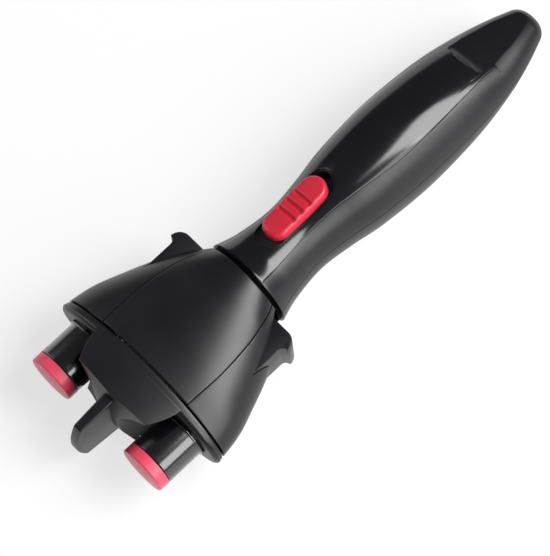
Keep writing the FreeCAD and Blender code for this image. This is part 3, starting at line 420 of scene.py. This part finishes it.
# %% Bottom shell
door_x = (-115.55, -65.25)
door_half_width = 11.5
door_gap = 0.35
door_cut_top = -7.0
screw_hole_radius = 2.25
screw_spots = [(-11.5, 10.4, -8.0), (-11.5, -10.4, -8.0), (-129.65, 0.0, -6.0)]


def lower_skin(x, width, height, start=0.0, end=np.pi, count=90):
    """The lower half of the ovals, from one seam round to the other."""
    lift = np.arcsin(np.clip(seam / 2.0 / np.maximum(height, 1.0), 0.0, 1.0))
    share = np.linspace(start, end, count)
    angles = -lift[:, None] - (np.pi - 2.0 * lift)[:, None] * share / np.pi
    return ring_at(x[:, None], width[:, None], height[:, None], angles)


rows, shrink = handle_rows()
full_width, full_height = handle_size(rows)
lower_grid = lower_skin(rows, full_width * shrink, full_height * shrink)
door_hole = block(*door_x, -door_half_width, door_half_width, -far, door_cut_top, handle_roll)
screw_holes = [bar(2, screw_hole_radius, -far, top, (x, y), handle_roll, 32) for x, y, top in screw_spots]
moulded("bottom_shell", grid_mesh("bottom_shell", lower_grid, handle_roll), "handle", ["handle_bottom_shell"],
        wall=handle_wall, edge=soft_edge, cuts=[door_hole] + screw_holes)

# %% Battery door
door_rows = np.linspace(door_x[0] + door_gap, door_x[1] - door_gap, 60)
door_across = np.linspace(-1.0, 1.0, 41) * (door_half_width - door_gap)
door_w, door_h = handle_size(door_rows)
door_z = -door_h[:, None] * np.sqrt(1.0 - (door_across[None, :] / door_w[:, None]) ** 2)
door_grid = np.stack([np.broadcast_to(door_rows[:, None], door_z.shape),
                      np.broadcast_to(door_across, door_z.shape), door_z], axis=-1)
grip_middle, grip_pitch = door_x[1] - 6.0, 3.0
grip_radius, grip_drop = 1.0, 0.4
grip_reach = door_half_width / 2.0
grips = []
for step in (-1, 0, 1):
    place = grip_middle + step * grip_pitch
    low = -float(handle_size(np.array([place]))[1][0]) - grip_drop
    grips.append(bar(1, grip_radius, -grip_reach, grip_reach, (place, low), handle_roll, 24))
moulded("battery_lid", grid_mesh("battery_lid", door_grid, handle_roll), "battery_door", ["battery_door"],
        wall=handle_wall, cuts=grips, edge=soft_edge)

# %% [markdown]
# The switch knob is a thumb pad with a stadium outline.  It is drawn as rings
# of that outline: straight walls, then a rounded rim, then the top, which is a
# height map that slopes up to the rear and dips in three grooves, each one a
# bell curve across the knob.

# %% Switch knob
knob_half_length, knob_half_width = 15.2, 5.6
knob_foot = 15.05
knob_top_front, knob_top_rear = 18.6, 20.6
knob_rim = 1.2
knob_pitch = 4.3
knob_groove_reach, knob_groove_depth = 0.75, 1.1
knob_crown = 0.35


def knob_grid():
    """Rings drawn in by s: walls, a quarter-round rim, then the top height map."""
    angle = np.linspace(0.0, np.pi / 2.0, 9)
    inwards = np.linspace(knob_rim, knob_half_width, 14)[1:]
    inset = np.r_[0.0, 0.0, knob_rim * (1.0 - np.cos(angle)), inwards]
    foot = np.arange(len(inset)) == 0
    sag = np.r_[0.0, knob_rim, knob_rim * (1.0 - np.sin(angle)), np.zeros(len(inwards))]
    rings = [stadium_outline(knob_half_length - s, knob_half_width - s, 60) for s in inset]
    flat = np.array(rings)
    x, y = flat[..., 0], flat[..., 1]
    middle = (knob_top_front + knob_top_rear) / 2.0
    top = middle - (knob_top_rear - knob_top_front) * x / (2.0 * knob_half_length)
    grooves = sum(np.exp(-(((x - k * knob_pitch) / knob_groove_reach) ** 2)) for k in (-1, 0, 1))
    inside = np.clip((inset - knob_rim * 0.25) / knob_rim, 0.0, 1.0)[:, None]
    crown = knob_crown * (1.0 - (y / knob_half_width) ** 2)
    top = top - knob_groove_depth * grooves * inside + crown * inside
    z = np.where(foot[:, None], knob_foot, top - sag[:, None])
    return np.stack([x + slot_middle, y, z], axis=-1)


knob_middle = np.array([slot_middle, 0.0, 16.0])
moulded("thumb_knob", grid_mesh("thumb_knob", knob_grid(), handle_roll, wrap=True, inside=knob_middle),
        "switch_knob", ["switch_knob"])

# %% [markdown]
# The head is a flat bell: ovals that keep their height and grow wide.  Two
# long covers, above and below, meet two cheeks along curved seams.  Each piece
# is the same form between its own borders, and all end at the front rim,
# whose line bows forward at the sides as a shallow parabola.

# %% The head's form
head_stations = [0.0, 5.0, 10.0, 20.0, 31.0, 42.0, 56.1]
head_widths = [19.8, 23.8, 27.2, 32.2, 36.7, 40.7, 43.1]
head_heights = [19.8, 20.2, 20.7, 21.1, 21.2, 21.0, 20.6]
head_wall = 2.2
cover_stations = [0.0, 3.0, 10.0, 18.6, 34.0, 50.4]
cover_widths = [15.8, 17.3, 19.8, 21.8, 23.3, 23.0]
rim_x = 50.4
rim_bow = 1.3
cap_back = 51.4
cap_face = 56.1
barrel_offset = 25.2


def head_size(x):
    """Half-width and half-height of the head at x."""
    return spline(x, head_stations, head_widths), spline(x, head_stations, head_heights)


def bowed(y):
    """How far the rim's line stands forward at y."""
    return rim_bow * (y / head_widths[-1]) ** 2


# %% Covers
def cover_grid(side):
    """y shares the cover's width, z follows the oval, x runs from the neck to the bowed rim."""
    across = np.linspace(-1.0, 1.0, 61)
    along = np.linspace(0.0, 1.0, 70)[:, None]
    end = rim_x + bowed(across * cover_widths[-1])
    x = end * along
    y = across * (spline(x, cover_stations, cover_widths) - seam / 2.0)
    width, height = head_size(x)
    return np.stack([x, y, side * height * np.sqrt(1.0 - (y / width) ** 2)], axis=-1)


cover_screw_x, cover_screw_y = 31.0, 9.5
cover_hole_radius, cover_hole_top = 1.95, -19.0
cover_holes = [bar(2, cover_hole_radius, -far, cover_hole_top, (cover_screw_x, y), turns=32)
               for y in (-cover_screw_y, cover_screw_y)]
moulded("top_cover", grid_mesh("top_cover", cover_grid(1.0)), "head", ["head_top_cover"],
        wall=head_wall, edge=soft_edge)
moulded("bottom_cover", grid_mesh("bottom_cover", cover_grid(-1.0)), "head", ["head_bottom_cover"],
        wall=head_wall, edge=soft_edge, cuts=cover_holes)


# %% Cheeks
def cheek_grid(side):
    """The ovals from the upper seam round the side to the lower seam."""
    along = np.linspace(0.0, 1.0, 90)[:, None]
    share = np.linspace(-1.0, 1.0, 81)
    x = rim_x * along * np.ones_like(share)
    width, height = head_size(x)
    limit = np.arccos(np.clip((spline(x, cover_stations, cover_widths) + seam / 2.0) / width, 0.0, 1.0))
    y = width * np.cos(share * limit)
    x = (rim_x + bowed(y[-1])) * along
    width, height = head_size(x)
    limit = np.arccos(np.clip((spline(x, cover_stations, cover_widths) + seam / 2.0) / width, 0.0, 1.0))
    return ring_at(x, width, height, share * limit) * np.array([1.0, side, 1.0])


lever_outer, lever_inner = 29.8, 18.0
lever_gap = 0.35
channel_half = 9.85
channel_start, channel_end = -5.0, 35.2
notch_end = 10.1
for name, side in (("left", 1.0), ("right", -1.0)):
    low, high = sorted((side * (lever_inner - lever_gap), side * (lever_outer + lever_gap)))
    rear_low, rear_high = sorted((0.0, side * far))
    channel = block(channel_start, channel_end, low, high, -channel_half, channel_half)
    rear = block(channel_start, notch_end, rear_low, rear_high, -channel_half, channel_half)
    moulded("cheek_shell_" + name, grid_mesh("cheek", cheek_grid(side)), "head", ["cheek_" + name],
            wall=head_wall, edge=soft_edge, cuts=[channel, rear])

# %% [markdown]
# The front cap closes the bell.  Its rim has a rounded front edge and a flat
# face with two bores for the barrels.  In the middle stands the divider: a
# block with the head's own outline, hollowed by a round bowl about each
# barrel and cut off by slanted planes, which leaves two wings and a web.

# %% Front cap rim and face
cap_round = 2.2
cap_wall, cap_edge = 2.0, 0.2
bore_radius, bore_back = 10.7, 40.0


def cap_grid():
    """Rings: the bowed rear edge, the rim, a quarter-round edge, and the face drawn in to a line."""
    around = np.linspace(0.0, 2.0 * np.pi, 240, endpoint=False)
    width, height = head_size(np.array(cap_back))
    rings = [ring_at(cap_back + bowed(width * np.cos(around)), width, height, around)]
    for x in np.linspace(cap_back + 1.6, cap_face - cap_round, 4):
        width, height = head_size(np.array(x))
        rings.append(ring_at(np.array(x), width, height, around))
    width, height = head_size(np.array(cap_face))
    for turn in np.linspace(0.0, np.pi / 2.0, 9)[1:]:
        inset = cap_round * (1.0 - np.cos(turn))
        x = cap_face - cap_round * (1.0 - np.sin(turn))
        rings.append(ring_at(np.array(x), width - inset, height - inset, around))
    for share in (0.75, 0.4, 0.1, 0.0):
        rings.append(ring_at(np.array(cap_face), (width - cap_round) * (0.3 + 0.7 * share),
                             (height - cap_round) * share, around))
    return np.array(rings)


barrel_bores = [bar(0, bore_radius, bore_back, far, (side * barrel_offset, 0.0)) for side in (1.0, -1.0)]
behind_cap = np.array([45.0, 0.0, 0.0])
moulded("front_face", grid_mesh("front_face", cap_grid(), wrap=True, inside=behind_cap), "head",
        ["front_cap"], wall=cap_wall, edge=cap_edge, cuts=barrel_bores)

# %% Divider with its wings
wing_stations = [51.4, 56.1, 62.0, 69.2, 80.0]
wing_widths = [23.0, 22.7, 20.9, 17.2, 11.0]
wing_tip = 69.2
wing_sweep = 1.8 / 17.4
wing_reach = 2.9
wing_lean = wing_reach / 11.0
wing_height = 19.6
divider_front, divider_edge = 76.0, 0.45
bowl_root, bowl_mouth = 17.4, 19.8


def divider_grid():
    """Sections across the axis: an arc of the head's oval above and below, joined by straight sides."""
    x = np.linspace(cap_face - cap_round, divider_front, 30)
    width, height = head_size(x)
    edge = spline(x, wing_stations, wing_widths)
    across = np.linspace(1.0, -1.0, 49)
    y = edge[:, None] * across
    z = height[:, None] * np.sqrt(1.0 - (y / width[:, None]) ** 2)
    rise = np.linspace(-1.0, 1.0, 9)[1:-1]
    side_z = z[:, -1:] * -rise
    top = np.stack([np.broadcast_to(x[:, None], y.shape), y, z], axis=-1)
    side_x = np.broadcast_to(x[:, None], side_z.shape)
    left = np.stack([side_x, np.broadcast_to(-edge[:, None], side_z.shape), side_z], axis=-1)
    half_turn = np.array([1.0, -1.0, -1.0])
    return np.concatenate([top, left, top * half_turn, left * half_turn], axis=1)


divider_cuts = []
bowl_slope = (bowl_mouth - bowl_root) / (wing_tip - cap_face)
bowl_x = (cap_face - 6.0, wing_tip + 12.0)
bowl_ends = [bowl_root + bowl_slope * (x - cap_face) for x in bowl_x]
for side in (1.0, -1.0):
    divider_cuts.append(bar(0, bowl_ends[0], *bowl_x, (side * barrel_offset, 0.0), turns=160,
                            end_radius=bowl_ends[1]))
    divider_cuts.append(beyond((wing_tip + wing_reach, 0, 0), (1, side * wing_sweep, 0)))
    for level in (1.0, -1.0):
        lean_way = (1, side * wing_sweep, level * wing_lean)
        divider_cuts.append(beyond((wing_tip, 0, level * wing_height), lean_way))
moulded("divider", grid_mesh("divider", divider_grid(), wrap=True, caps=True), "head",
        cuts=divider_cuts, edge=divider_edge)

# %% [markdown]
# The centre fin is a thin tapered plate with a curved nose, so it is drawn as
# an outline and given two sides.  Bevel rounds its long edges.

# %% Centre fin
fin_root, fin_top, fin_nose = 54.0, 86.0, 89.6
fin_root_height, fin_tip_height = 19.5, 14.9
fin_root_half, fin_tip_half = 2.9, 1.9
fin_edge = 0.7


def fin_grid():
    """The outline twice, at y = +t(x) and y = -t(x); t falls in a straight line to the nose."""
    bend = np.linspace(-1.0, 1.0, 25)
    nose = np.column_stack([fin_top + (fin_nose - fin_top) * (1.0 - bend**2), -fin_tip_height * bend])
    outline = np.vstack([[fin_root, fin_root_height], nose, [fin_root, -fin_root_height]])
    share = (outline[:, 0] - fin_root) / (fin_nose - fin_root)
    half = fin_root_half + (fin_tip_half - fin_root_half) * share
    sides = [np.column_stack([outline[:, 0], side * half, outline[:, 1]]) for side in (1.0, -1.0)]
    return np.array(sides)


fin_middle = np.array([70.0, 0.0, 0.0])
moulded("divider_fin", grid_mesh("divider_fin", fin_grid(), wrap=True, inside=fin_middle, caps=True),
        "head", ["centre_fin"], edge=fin_edge, steps=4)

# %% [markdown]
# Barrels and hook caps are turned parts: a profile of (x, radius) pairs is
# carried round the barrel's axis.  Corners of the profile are arcs, so the
# light runs along them.


# %% Turned parts
def turned(profile, y, turns=128):
    """Carry a closed or open profile of (x, radius) round the axis at (y, 0)."""
    profile = np.asarray(profile, float)
    around = np.linspace(0.0, 2.0 * np.pi, turns, endpoint=False)
    radius = profile[:, 1:]
    return np.stack([np.broadcast_to(profile[:, :1], (len(profile), turns)), y + radius * np.cos(around),
                     radius * np.sin(around)], axis=-1)


def corner(x, radius, r, start, end, count=7):
    """Arc of radius r about (x, radius), from angle start to end in quarter turns; 0 points along +x."""
    angle = np.linspace(start, end, count) * np.pi / 2.0
    return list(zip(x + r * np.cos(angle), radius + r * np.sin(angle)))


barrel_radius, barrel_front = 10.2, 73.2
tongue_length, tongue_width, tongue_thickness = 3.6, 9.0, 1.2
cap_start, cap_end = 73.5, 78.9
cap_dome = 0.9
cap_fillet = 0.7
cap_break = 0.15
bore = 2.3
barrel_rear, barrel_round = 54.2, 0.4
ring_start, ring_width, ring_radius, ring_round = 56.45, 1.1, 10.9, 0.4
ring_inner = barrel_radius + 0.02


def barrel_profile():
    """Bore, rear face, outside and a softened front edge."""
    rear = [(barrel_rear, bore), (barrel_rear, barrel_radius)]
    front_edge = corner(barrel_front - barrel_round, barrel_radius - barrel_round, barrel_round, 1.0, 0.0)
    return rear + front_edge + [(barrel_front, bore), rear[0]]


def ring_profile():
    """A thin band with a rounded outside."""
    end = ring_start + ring_width
    height = ring_radius - ring_round
    outside = (corner(ring_start + ring_round, height, ring_round, 2.0, 1.0)
               + corner(end - ring_round, height, ring_round, 1.0, 0.0))
    return [(ring_start, ring_inner)] + outside + [(end, ring_inner), (ring_start, ring_inner)]


def cap_profile():
    """Rear face, side, rounded edge and a dome: x falls from the middle with the radius squared."""
    rim = cap_end - cap_dome
    radius = np.linspace(barrel_radius - cap_fillet, 0.01, 16)
    dome = list(zip(cap_end - cap_dome * (radius / barrel_radius) ** 2, radius))
    rear = [(cap_start, radius[-1]), (cap_start, barrel_radius - cap_break),
            (cap_start + cap_break, barrel_radius)]
    edge = corner(rim - cap_fillet + cap_break, barrel_radius - cap_fillet, cap_fillet, 1.0, 0.15)
    return rear + edge + dome


def tongue_mesh(y):
    """A curved plate on the barrel's -y side: rounded free end, the barrel's own radius."""
    half = math.asin(tongue_width / 2.0 / barrel_radius)
    around = np.linspace(-half, half, 25)
    start = cap_start - tongue_length
    reach = 0.9 * (np.abs(around) / half) ** 6
    along = np.linspace(0.0, 1.0, 14)[:, None]
    x = start + reach + (cap_start + 0.4 - start - reach) * along
    grid = np.stack([x, y - barrel_radius * np.cos(around) * np.ones_like(x),
                     barrel_radius * np.sin(around) * np.ones_like(x)], axis=-1)
    return grid_mesh("tongue", grid, inside=np.array([72.0, y, 0.0]))


def tongue_slot(y):
    """Cutter for the tongue's slot: the tongue's own curve, a little larger, open to the outside."""
    play = 0.35
    z = np.linspace(-1.0, 1.0, 25) * (tongue_width / 2.0 + play)
    floor = y - np.sqrt((barrel_radius - tongue_thickness - play) ** 2 - z**2)
    outline = np.vstack([np.column_stack([floor, z]), [y - 2.0 * barrel_radius, z[-1]],
                         [y - 2.0 * barrel_radius, z[0]]])
    starts = (cap_start - tongue_length - play, cap_start + tongue_length)
    ends = np.array([np.column_stack([np.full(len(outline), x), outline]) for x in starts])
    return grid_mesh("slot", ends, wrap=True, inside=ends.reshape(-1, 3).mean(axis=0), caps=True)


# %% Barrels, rings and hook caps
for name, side in (("left", 1.0), ("right", -1.0)):
    y = side * barrel_offset
    middle = np.array([64.0, y, 0.0])
    body = "barrel_" + name
    notch = tongue_slot(y)
    tube_mesh = grid_mesh("barrel", turned(barrel_profile(), y), wrap=True, inside=middle)
    fixed = bmesh.new()
    fixed.from_mesh(tube_mesh)
    bmesh.ops.recalc_face_normals(fixed, faces=fixed.faces)
    fixed.to_mesh(tube_mesh)
    fixed.free()
    moulded("barrel_tube_" + name, tube_mesh, body, ["barrel_" + name], cuts=[notch])
    ring_mesh = grid_mesh("ring", turned(ring_profile(), y), wrap=True, inside=middle)
    moulded("barrel_band_" + name, ring_mesh, body, ["barrel_ring_" + name])
    cap_mesh = grid_mesh("cap", turned(cap_profile(), y), wrap=True, inside=np.array([76.0, y, 0.0]))
    moulded("hook_disc_" + name, cap_mesh, "hook_" + name, ["hook_cap_" + name])
    moulded("hook_tongue_" + name, tongue_mesh(y), "hook_" + name, wall=tongue_thickness, edge=soft_edge)

# %% [markdown]
# Each push lever is a block that slides in its channel, with a thumb flange
# that flares outwards at the rear.  Its outline seen from above is carried
# over its height, and Bevel softens every edge.

# %% Push levers
lever_back, lever_block_end = 2.7, 22.5
lip_height, shoulder_radius = 2.4, 5.0
lever_half, lever_wall, lever_edge = 9.5, 1.6, 0.5
lever_front = lever_block_end + 5.4
lever_spare = 1.0
pocket_x, pocket_half = (24.3, 26.4), 4.95
way_x, way_half = (26.0, 29.0), 2.55


def lever_grid(side):
    """Outline from above: a round shoulder up to the crest, then a hollow curve down to the block."""
    quarter = np.linspace(0.0, np.pi / 2.0, 12)
    crest_x, crest_y = lever_back + shoulder_radius, lever_outer + lip_height
    shoulder = np.column_stack([crest_x - shoulder_radius * np.cos(quarter),
                                crest_y - shoulder_radius * (1.0 - np.sin(quarter))])
    hollow = np.column_stack([crest_x + lip_height * (1.0 - np.cos(quarter)),
                              crest_y - lip_height * np.sin(quarter)])
    outline = np.vstack([[lever_back, lever_inner], shoulder, hollow[1:],
                         [lever_front, lever_outer], [lever_front, lever_inner]])
    heights = []
    for z in (-lever_half, lever_half):
        heights.append(np.column_stack([outline[:, 0], side * outline[:, 1], np.full(len(outline), z)]))
    return np.array(heights)


for name, side in (("left", 1.0), ("right", -1.0)):
    middle = np.array([12.0, side * 24.0, 0.0])
    lever_mesh = grid_mesh("lever", lever_grid(side), wrap=True, inside=middle, caps=True)
    low, high = sorted((side * (lever_inner - lever_spare), side * (lever_outer - lever_wall)))
    room = lever_half - lever_wall
    hollow = block(lever_back + lever_wall, lever_block_end, low, high, -room, room)
    flat_low, flat_high = sorted((side * (lever_inner - lever_spare), side * (lever_outer + lever_spare)))
    pocket = block(*pocket_x, flat_low, flat_high, -pocket_half, pocket_half)
    slot_low, slot_high = sorted((side * barrel_offset, side * (lever_outer + lever_spare)))
    way = block(*way_x, slot_low, slot_high, -way_half, way_half)
    eye = bar(0, way_half, *way_x, (side * barrel_offset, 0.0), turns=32)
    moulded("push_lever_" + name, lever_mesh, "lever_" + name, ["lever_" + name],
            cuts=[hollow, pocket, way, eye], edge=lever_edge)

# %% [markdown]
# Each return spring is pressed between its lever and the frame plate.  It
# moves with the lever and shortens towards it, so its front end stays put,
# keeping (length - travel) / length of its length.  Here each spring is only
# given a mesh of its own; nothing shortens it.

# %% Return springs
for name, side in (("left", 1.0), ("right", -1.0)):
    spring = bpy.data.objects["return_spring_" + name]
    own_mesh(spring)

# %% [markdown]
# Finishes.  Moulded plastic is not one flat colour: the mould leaves a fine
# grain, handling leaves patches a little smoother than the rest.  So each
# plastic has a colour and a roughness that wander with a coarse noise, and the
# grained ones a small bump from a fine one.  Metals get brushed streaks, the
# cells a plain blue wrap.


# %% Plastic
def new_material(name):
    """An empty node material with its Principled shader and Object coordinates."""
    material = bpy.data.materials.new(name)
    material.use_nodes = True
    nodes, links = material.node_tree.nodes, material.node_tree.links
    shader = nodes["Principled BSDF"]
    place = nodes.new("ShaderNodeTexCoord")
    return material, nodes, links, shader, place.outputs["Object"]


def noise(nodes, links, place, scale, detail=3.0):
    """A noise texture read at the object's own coordinates."""
    texture = nodes.new("ShaderNodeTexNoise")
    texture.inputs["Scale"].default_value = scale
    texture.inputs["Detail"].default_value = detail
    links.new(place, texture.inputs["Vector"])
    return texture.outputs["Fac"]


def spread_over(nodes, links, value, low, high):
    """Carry a 0..1 value to the range low..high."""
    spread = nodes.new("ShaderNodeMapRange")
    spread.inputs["From Min"].default_value = 0.3
    spread.inputs["From Max"].default_value = 0.7
    spread.inputs["To Min"].default_value = low
    spread.inputs["To Max"].default_value = high
    links.new(value, spread.inputs["Value"])
    return spread.outputs["Result"]


def tinted(nodes, links, value, dark, light):
    """A colour that wanders between dark and light with the value."""
    ramp = nodes.new("ShaderNodeValToRGB")
    ramp.color_ramp.elements[0].position = 0.3
    ramp.color_ramp.elements[1].position = 0.7
    ramp.color_ramp.elements[0].color = (*dark, 1.0)
    ramp.color_ramp.elements[1].color = (*light, 1.0)
    links.new(value, ramp.inputs["Fac"])
    return ramp.outputs["Color"]


def plastic(name, dark, light, rough, grain=0.0, grain_scale=2600.0, coat=0.0, specular=0.5):
    """Moulded plastic: wandering colour and roughness, fine grain as bump."""
    material, nodes, links, shader, place = new_material(name)
    patches = noise(nodes, links, place, 38.0)
    links.new(tinted(nodes, links, patches, dark, light), shader.inputs["Base Color"])
    links.new(spread_over(nodes, links, patches, rough[0], rough[1]), shader.inputs["Roughness"])
    shader.inputs["Coat Weight"].default_value = coat
    shader.inputs["Coat Roughness"].default_value = 0.06
    shader.inputs["Specular IOR Level"].default_value = specular
    if grain:
        bump = nodes.new("ShaderNodeBump")
        bump.inputs["Strength"].default_value = grain
        bump.inputs["Distance"].default_value = 0.00005
        links.new(noise(nodes, links, place, grain_scale, 2.0), bump.inputs["Height"])
        links.new(bump.outputs["Normal"], shader.inputs["Normal"])
    return material


satin_black = plastic("satin_black_shell", (0.0055, 0.005, 0.0065), (0.0085, 0.0078, 0.0095), (0.34, 0.42),
                      grain=0.25)
gloss_black = plastic("gloss_black_panel", (0.006, 0.0055, 0.007), (0.008, 0.0075, 0.009), (0.15, 0.18))
barrel_black = plastic("gloss_black_barrel", (0.003, 0.003, 0.0035), (0.004, 0.004, 0.005), (0.20, 0.24),
                       coat=0.7, specular=0.9)
# Painted shade: the neck sleeve's black is pushed far darker than the shells and its reflection is almost
# taken away, so the groove it sits in renders as a solid shaded band.
groove_painted_shade = plastic("neck_groove_painted_shade", (0.0006, 0.0006, 0.0006), (0.001, 0.001, 0.001), (0.6, 0.7),
                       specular=0.02)
deep_black = plastic("black_recess", (0.006, 0.006, 0.007), (0.009, 0.009, 0.010), (0.28, 0.36), grain=0.2)
knob_red = plastic("red_knob", (0.60, 0.018, 0.042), (0.66, 0.024, 0.052), (0.32, 0.40), grain=0.15)
cap_red = plastic("red_cap", (0.76, 0.062, 0.115), (0.82, 0.075, 0.135), (0.30, 0.38), grain=0.15)
nylon = plastic("white_nylon", (0.70, 0.69, 0.65), (0.78, 0.77, 0.73), (0.45, 0.55), grain=0.2)
wrap_blue = plastic("cell_wrap", (0.03, 0.07, 0.18), (0.04, 0.09, 0.22), (0.25, 0.32))
wire_red = plastic("red_wire", (0.45, 0.02, 0.02), (0.52, 0.03, 0.03), (0.45, 0.55))
wire_black = plastic("black_wire", (0.015, 0.015, 0.015), (0.025, 0.025, 0.025), (0.45, 0.55))
print("plastics made")


# %% Metal
def metal(name, colour, rough, across):
    """Turned or drawn metal: streaks along one axis, from noise squeezed along the other two."""
    material, nodes, links, shader, place = new_material(name)
    squeeze = nodes.new("ShaderNodeMapping")
    squeeze.inputs["Scale"].default_value = across
    links.new(place, squeeze.inputs["Vector"])
    streaks = noise(nodes, links, squeeze.outputs["Vector"], 400.0)
    darker = tuple(0.82 * c for c in colour)
    links.new(tinted(nodes, links, streaks, darker, colour), shader.inputs["Base Color"])
    links.new(spread_over(nodes, links, streaks, rough * 0.8, rough * 1.2), shader.inputs["Roughness"])
    shader.inputs["Metallic"].default_value = 1.0
    return material


steel = metal("drawn_steel", (0.62, 0.62, 0.63), 0.28, (0.05, 1.0, 1.0))
brass = metal("cut_brass", (0.78, 0.58, 0.28), 0.25, (1.0, 0.2, 0.2))

# %% Who wears what
wears = {
    satin_black: ["top_shell", "bottom_shell", "battery_lid", "top_cover", "bottom_cover", "cheek_shell_left",
                  "cheek_shell_right", "front_face", "divider", "divider_fin", "push_lever_left",
                  "push_lever_right"],
    gloss_black: ["top_panel"],
    barrel_black: ["barrel_tube_left", "barrel_tube_right", "barrel_band_left", "barrel_band_right"],
    groove_painted_shade: ["neck_sleeve"],
    deep_black: ["slot_tray", "switch_body", "gear_plate", "frame_plate", "battery_tray"],
    knob_red: ["thumb_knob"],
    cap_red: ["hook_disc_left", "hook_disc_right", "hook_tongue_left", "hook_tongue_right"],
    nylon: ["gearbox_housing", "first_carrier", "output_carrier", "central_gear", "neck_bearing"],
    wrap_blue: ["cell_left", "cell_right"],
    wire_red: ["lead_red"],
    wire_black: ["lead_black"],
    brass: ["motor_pinion"],
}
for stage_number in (1, 2):
    wears[nylon] += ["planet_gear_%d_%d" % (stage_number, k) for k in (1, 2, 3)]
dressed = {name: material for material, names in wears.items() for name in names}
for thing in list(bpy.data.objects):
    if thing.type == "MESH":
        thing.data.materials.clear()
        thing.data.materials.append(dressed.get(thing.name, steel))
print("dressed", len(dressed))

# %% [markdown]
# The studio: a white table, one large soft lamp high behind the left side, one
# lower on the left for the barrels, a weak low lamp on the right that lifts
# the far edges, and a dim even world.  The table is white by its colour.  To
# the camera, in reflections and through glass most of it is plain white of
# strength 1, so the tool's shadow stays soft.  The world is plain white to the
# camera alone.

# %% Table
table_size = 6.0
plain_share = 0.7
table = bpy.data.meshes.new("table")
half = table_size / 2.0
table.from_pydata([(-half, -half, 0.0), (half, -half, 0.0), (half, half, 0.0), (-half, half, 0.0)], [],
                  [(0, 1, 2, 3)])
table_top = bpy.data.objects.new("table", table)
bpy.context.scene.collection.objects.link(table_top)
table_white, nodes, links, shader, place = new_material("white_table")
links.new(tinted(nodes, links, noise(nodes, links, place, 3.0), (0.93, 0.93, 0.93), (0.95, 0.95, 0.95)),
          shader.inputs["Base Color"])
shader.inputs["Roughness"].default_value = 0.9
shader.inputs["Specular IOR Level"].default_value = 0.1
glow = nodes.new("ShaderNodeEmission")
glow.inputs["Strength"].default_value = 1.0
sight = nodes.new("ShaderNodeLightPath")
seen = sight.outputs["Is Camera Ray"]
for ray in ("Is Glossy Ray", "Is Transmission Ray"):
    either = nodes.new("ShaderNodeMath")
    either.operation = "MAXIMUM"
    links.new(seen, either.inputs[0])
    links.new(sight.outputs[ray], either.inputs[1])
    seen = either.outputs["Value"]
plain = nodes.new("ShaderNodeMath")
plain.operation = "MULTIPLY"
plain.inputs[1].default_value = plain_share
links.new(seen, plain.inputs[0])
blend = nodes.new("ShaderNodeMixShader")
links.new(plain.outputs["Value"], blend.inputs["Fac"])
links.new(shader.outputs["BSDF"], blend.inputs[1])
links.new(glow.outputs["Emission"], blend.inputs[2])
links.new(blend.outputs["Shader"], nodes["Material Output"].inputs["Surface"])
table.materials.append(table_white)

# %% World
world_strength = 0.1
world = bpy.data.worlds.new("studio")
bpy.context.scene.world = world
world.use_nodes = True
backdrop = world.node_tree.nodes["Background"]
backdrop.inputs["Color"].default_value = (0.95, 0.96, 1.0, 1.0)
nodes, links = world.node_tree.nodes, world.node_tree.links
sight = nodes.new("ShaderNodeLightPath")
strength = nodes.new("ShaderNodeMath")
strength.operation = "MAXIMUM"
strength.inputs[1].default_value = world_strength
links.new(sight.outputs["Is Camera Ray"], strength.inputs[0])
links.new(strength.outputs["Value"], backdrop.inputs["Strength"])

# %% [markdown]
# The camera looks down the axis's own directions: back is the way from the
# tool to the camera, right and up are the picture's sides.  They are built
# from three angles, so the tool lies across the picture as it should.

# %% Camera
head_tilt = math.radians(15.0)
lean = 0.187
slant = math.radians(137.0)
upright = math.sqrt(1 - lean**2)
back = Vector((lean, math.sin(head_tilt) * upright, math.cos(head_tilt) * upright))
back.normalize()
along_axis = (Vector((1, 0, 0)) - back * back.x).normalized()
across_axis = Vector((0, math.cos(head_tilt), -math.sin(head_tilt)))
right = along_axis * math.cos(slant) + across_axis * math.sin(slant)
up = back.cross(right)
camera_distance = 1.6
aim_x = -4.7
shift_right, shift_up = 8.06, 0.08
aim = Vector(placed([aim_x, 0.0, 0.0]).tolist()) + (shift_right * right + shift_up * up) * MM
lens = bpy.data.cameras.new("camera")
lens.lens = 272.0
lens.clip_start = 0.01
lens.clip_end = 20.0
camera = bpy.data.objects.new("camera", lens)
bpy.context.scene.collection.objects.link(camera)
turn = np.array([list(right), list(up), list(back)]).T
camera.matrix_world = Matrix.Translation(aim + back * camera_distance) @ Matrix(turn.tolist()).to_4x4()
bpy.context.scene.camera = camera
print("camera at", [round(v, 3) for v in camera.matrix_world.translation])


# %% Lamps
aim_height = 0.02


def softbox(name, towards, distance, size, power):
    """A rectangular lamp seen from the tool in the direction towards, facing it."""
    lamp = bpy.data.lights.new(name, "AREA")
    lamp.shape = "RECTANGLE"
    lamp.size, lamp.size_y = size
    lamp.energy = power
    holder = bpy.data.objects.new(name, lamp)
    bpy.context.scene.collection.objects.link(holder)
    direction = Vector(towards).normalized()
    holder.location = Vector((0.0, 0.0, aim_height)) + direction * distance
    holder.rotation_euler = direction.to_track_quat("Z", "X").to_euler()


softbox("window", (-0.45, 0.5, 0.8), 1.5, (0.85, 0.85), 25.0)
softbox("barrel_light", (-0.1, 0.88, 0.47), 1.5, (0.9, 0.9), 13.0)
softbox("low_fill", (0.3, -1.0, 0.4), 1.4, (1.2, 0.4), 4.0)

# %% Finish
bpy.context.scene.view_settings.view_transform = "Standard"
